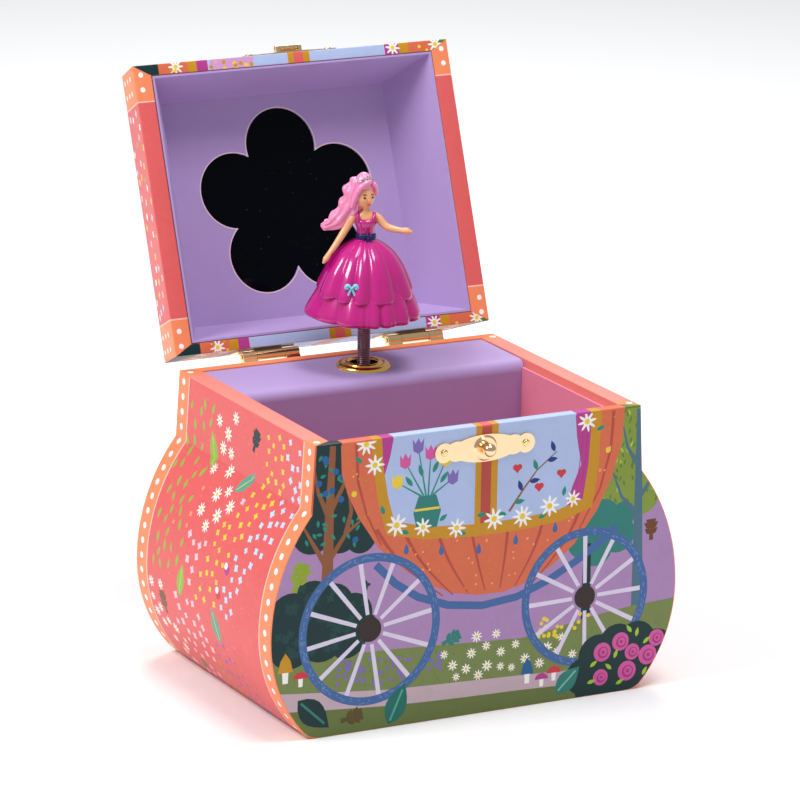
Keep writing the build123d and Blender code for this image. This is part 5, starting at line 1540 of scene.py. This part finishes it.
        points = []
        for i in range(9):
            a = math.radians(200 + 140 * i / 8)
            points.append((3.5 * math.cos(a), 0.9 + 3.5 * math.sin(a), 6.0 + 0.5 * math.sin(math.pi * i / 8)))
        band = tube("band", [head_point(*p) for p in points], [0.22] * 9, 10)
        crests = []
        for i, tall in ((2, 0.9), (3, 1.3), (4, 1.9), (5, 1.3), (6, 0.9)):
            x, y, z = points[i]
            crests.append(tube("crest", [head_point(x - 0.5, y, z), head_point(x, y + 0.1, z + tall),
                                         head_point(x + 0.5, y, z)], [0.17, 0.2, 0.17], 8))
            crests.append(ball("bead", head_point(x, y + 0.1, z + tall), (0.26, 0.26, 0.26), 12, 8))
        dress(join("tiara_band", [band] + crests), silver, "doll", "tiara_silver", "tiara")

        def bow(name, across, deep, height, size, lean):
            """A tied bow: two wings, a knot and two tails."""
            made = []
            for side in (-1, 1):
                made.append(tube("wing", [doll_point(across, deep, height, turn),
                                          doll_point(across + side * size * 0.7, deep + lean,
                                                     height + size * 0.45, turn),
                                          doll_point(across + side * size * 1.0, deep + lean,
                                                     height + size * 0.1, turn),
                                          doll_point(across + side * size * 0.6, deep,
                                                     height - size * 0.2, turn)],
                                 [size * 0.16, size * 0.38, size * 0.34, size * 0.14], 12, 0.6))
                made.append(tube("tail", [doll_point(across, deep, height, turn),
                                          doll_point(across + side * size * 0.35, deep - 0.1,
                                                     height - size * 0.7, turn),
                                          doll_point(across + side * size * 0.65, deep - 0.15,
                                                     height - size * 1.4, turn)],
                                 [size * 0.14, size * 0.22, size * 0.22], 12, 0.5))
            made.append(ball("knot", doll_point(across, deep - 0.15, height, turn), (size * 0.24,) * 3,
                             16, 10))
            return join(name, made)

        dress(bow("belt_bow", 1.0, -4.1, 48.9, 1.9, 0.2), blue, "doll", "belt_blue")
        dress(bow("skirt_bow", -4.6, -16.7, 33.4, 2.0, 0.2), pale_blue, "doll", "bow_blue", "dress_bows")
        return {"FINISHED"}


class JBOX_OT_stage(bpy.types.Operator):
    """Set up the floor, lights, surroundings and camera"""
    bl_idname = "jbox.stage"
    bl_label = "Set the Stage"

    def execute(self, context):
        scene = context.scene
        settings = scene.jbox_stage
        bpy.ops.object.select_all(action="DESELECT")
        bpy.ops.mesh.primitive_plane_add(size=12.0, location=(0, 0, 0))
        floor = context.active_object
        floor.name = "floor"
        floor.data.materials.append(material("floor_pale", "FAFAFA", roughness=0.7, specular=0.1))

        world = bpy.data.worlds.new("studio")
        scene.world = world
        world.use_nodes = True
        world.node_tree.nodes["Background"].inputs["Color"].default_value = (0.95, 0.96, 1.0, 1)
        world.node_tree.nodes["Background"].inputs["Strength"].default_value = 0.40

        for name, place, size in LAMPS:
            bpy.ops.object.light_add(type="AREA", location=place)
            lamp = context.active_object
            lamp.name = "light_" + name
            lamp.data.size = size
            lamp.data.energy = settings.key_power if name == "key" else settings.fill_power
            aim = Vector((0, 0, 0.09)) - Vector(place)
            lamp.rotation_euler = aim.to_track_quat("-Z", "Y").to_euler()

        bpy.ops.object.camera_add(location=CAMERA_PLACE)
        camera = context.active_object
        camera.name = "camera"
        around, above, roll = CAMERA_AROUND, CAMERA_ABOVE, CAMERA_ROLL
        ahead = Vector((math.sin(around) * math.cos(above), math.cos(around) * math.cos(above),
                        -math.sin(above)))
        right = Vector((math.cos(around), -math.sin(around), 0))
        up = right.cross(ahead)
        axis_x = right * math.cos(roll) + up * math.sin(roll)
        axis_y = -right * math.sin(roll) + up * math.cos(roll)
        camera.rotation_euler = Matrix((axis_x, axis_y, -ahead)).transposed().to_euler()
        camera.data.sensor_width = 36.0
        camera.data.lens = CAMERA_LENS
        camera.data.shift_x, camera.data.shift_y = CAMERA_SHIFT
        camera.data.clip_start = 0.05
        scene.camera = camera
        scene.view_settings.view_transform = "Standard"
        return {"FINISHED"}


class JBOX_PT_sidebar(bpy.types.Panel):
    """Sidebar with every step"""
    bl_label = "Jewellery Box"
    bl_idname = "JBOX_PT_sidebar"
    bl_space_type = "VIEW_3D"
    bl_region_type = "UI"
    bl_category = "Jewellery Box"

    def draw(self, context):
        layout = self.layout
        scene = context.scene
        layout.prop(scene.jbox_print, "seed")
        for field in ("turn", "fold_depth", "wire", "coils"):
            layout.prop(scene.jbox_doll, field)
        for field in ("key_power", "fill_power"):
            layout.prop(scene.jbox_stage, field)
        for operator in OPERATORS:
            layout.operator(operator.bl_idname)


OPERATORS = (JBOX_OT_finishes, JBOX_OT_box_papers, JBOX_OT_lid_papers, JBOX_OT_spring, JBOX_OT_skirt,
             JBOX_OT_doll, JBOX_OT_stage)
CLASSES = (PrintSettings, DollSettings, StageSettings) + OPERATORS + (JBOX_PT_sidebar,)


def register():
    for cls in CLASSES:
        bpy.utils.register_class(cls)
    bpy.types.Scene.jbox_print = PointerProperty(type=PrintSettings)
    bpy.types.Scene.jbox_doll = PointerProperty(type=DollSettings)
    bpy.types.Scene.jbox_stage = PointerProperty(type=StageSettings)


def unregister():
    del bpy.types.Scene.jbox_stage
    del bpy.types.Scene.jbox_doll
    del bpy.types.Scene.jbox_print
    for cls in reversed(CLASSES):
        bpy.utils.unregister_class(cls)


def main():
    register()
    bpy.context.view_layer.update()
    for operator in ("finishes", "box_papers", "lid_papers", "spring", "skirt", "doll", "stage"):
        if getattr(bpy.ops.jbox, operator)() != {"FINISHED"}:
            raise RuntimeError("jbox." + operator + " did not finish")


if __name__ == "__main__":
    main()
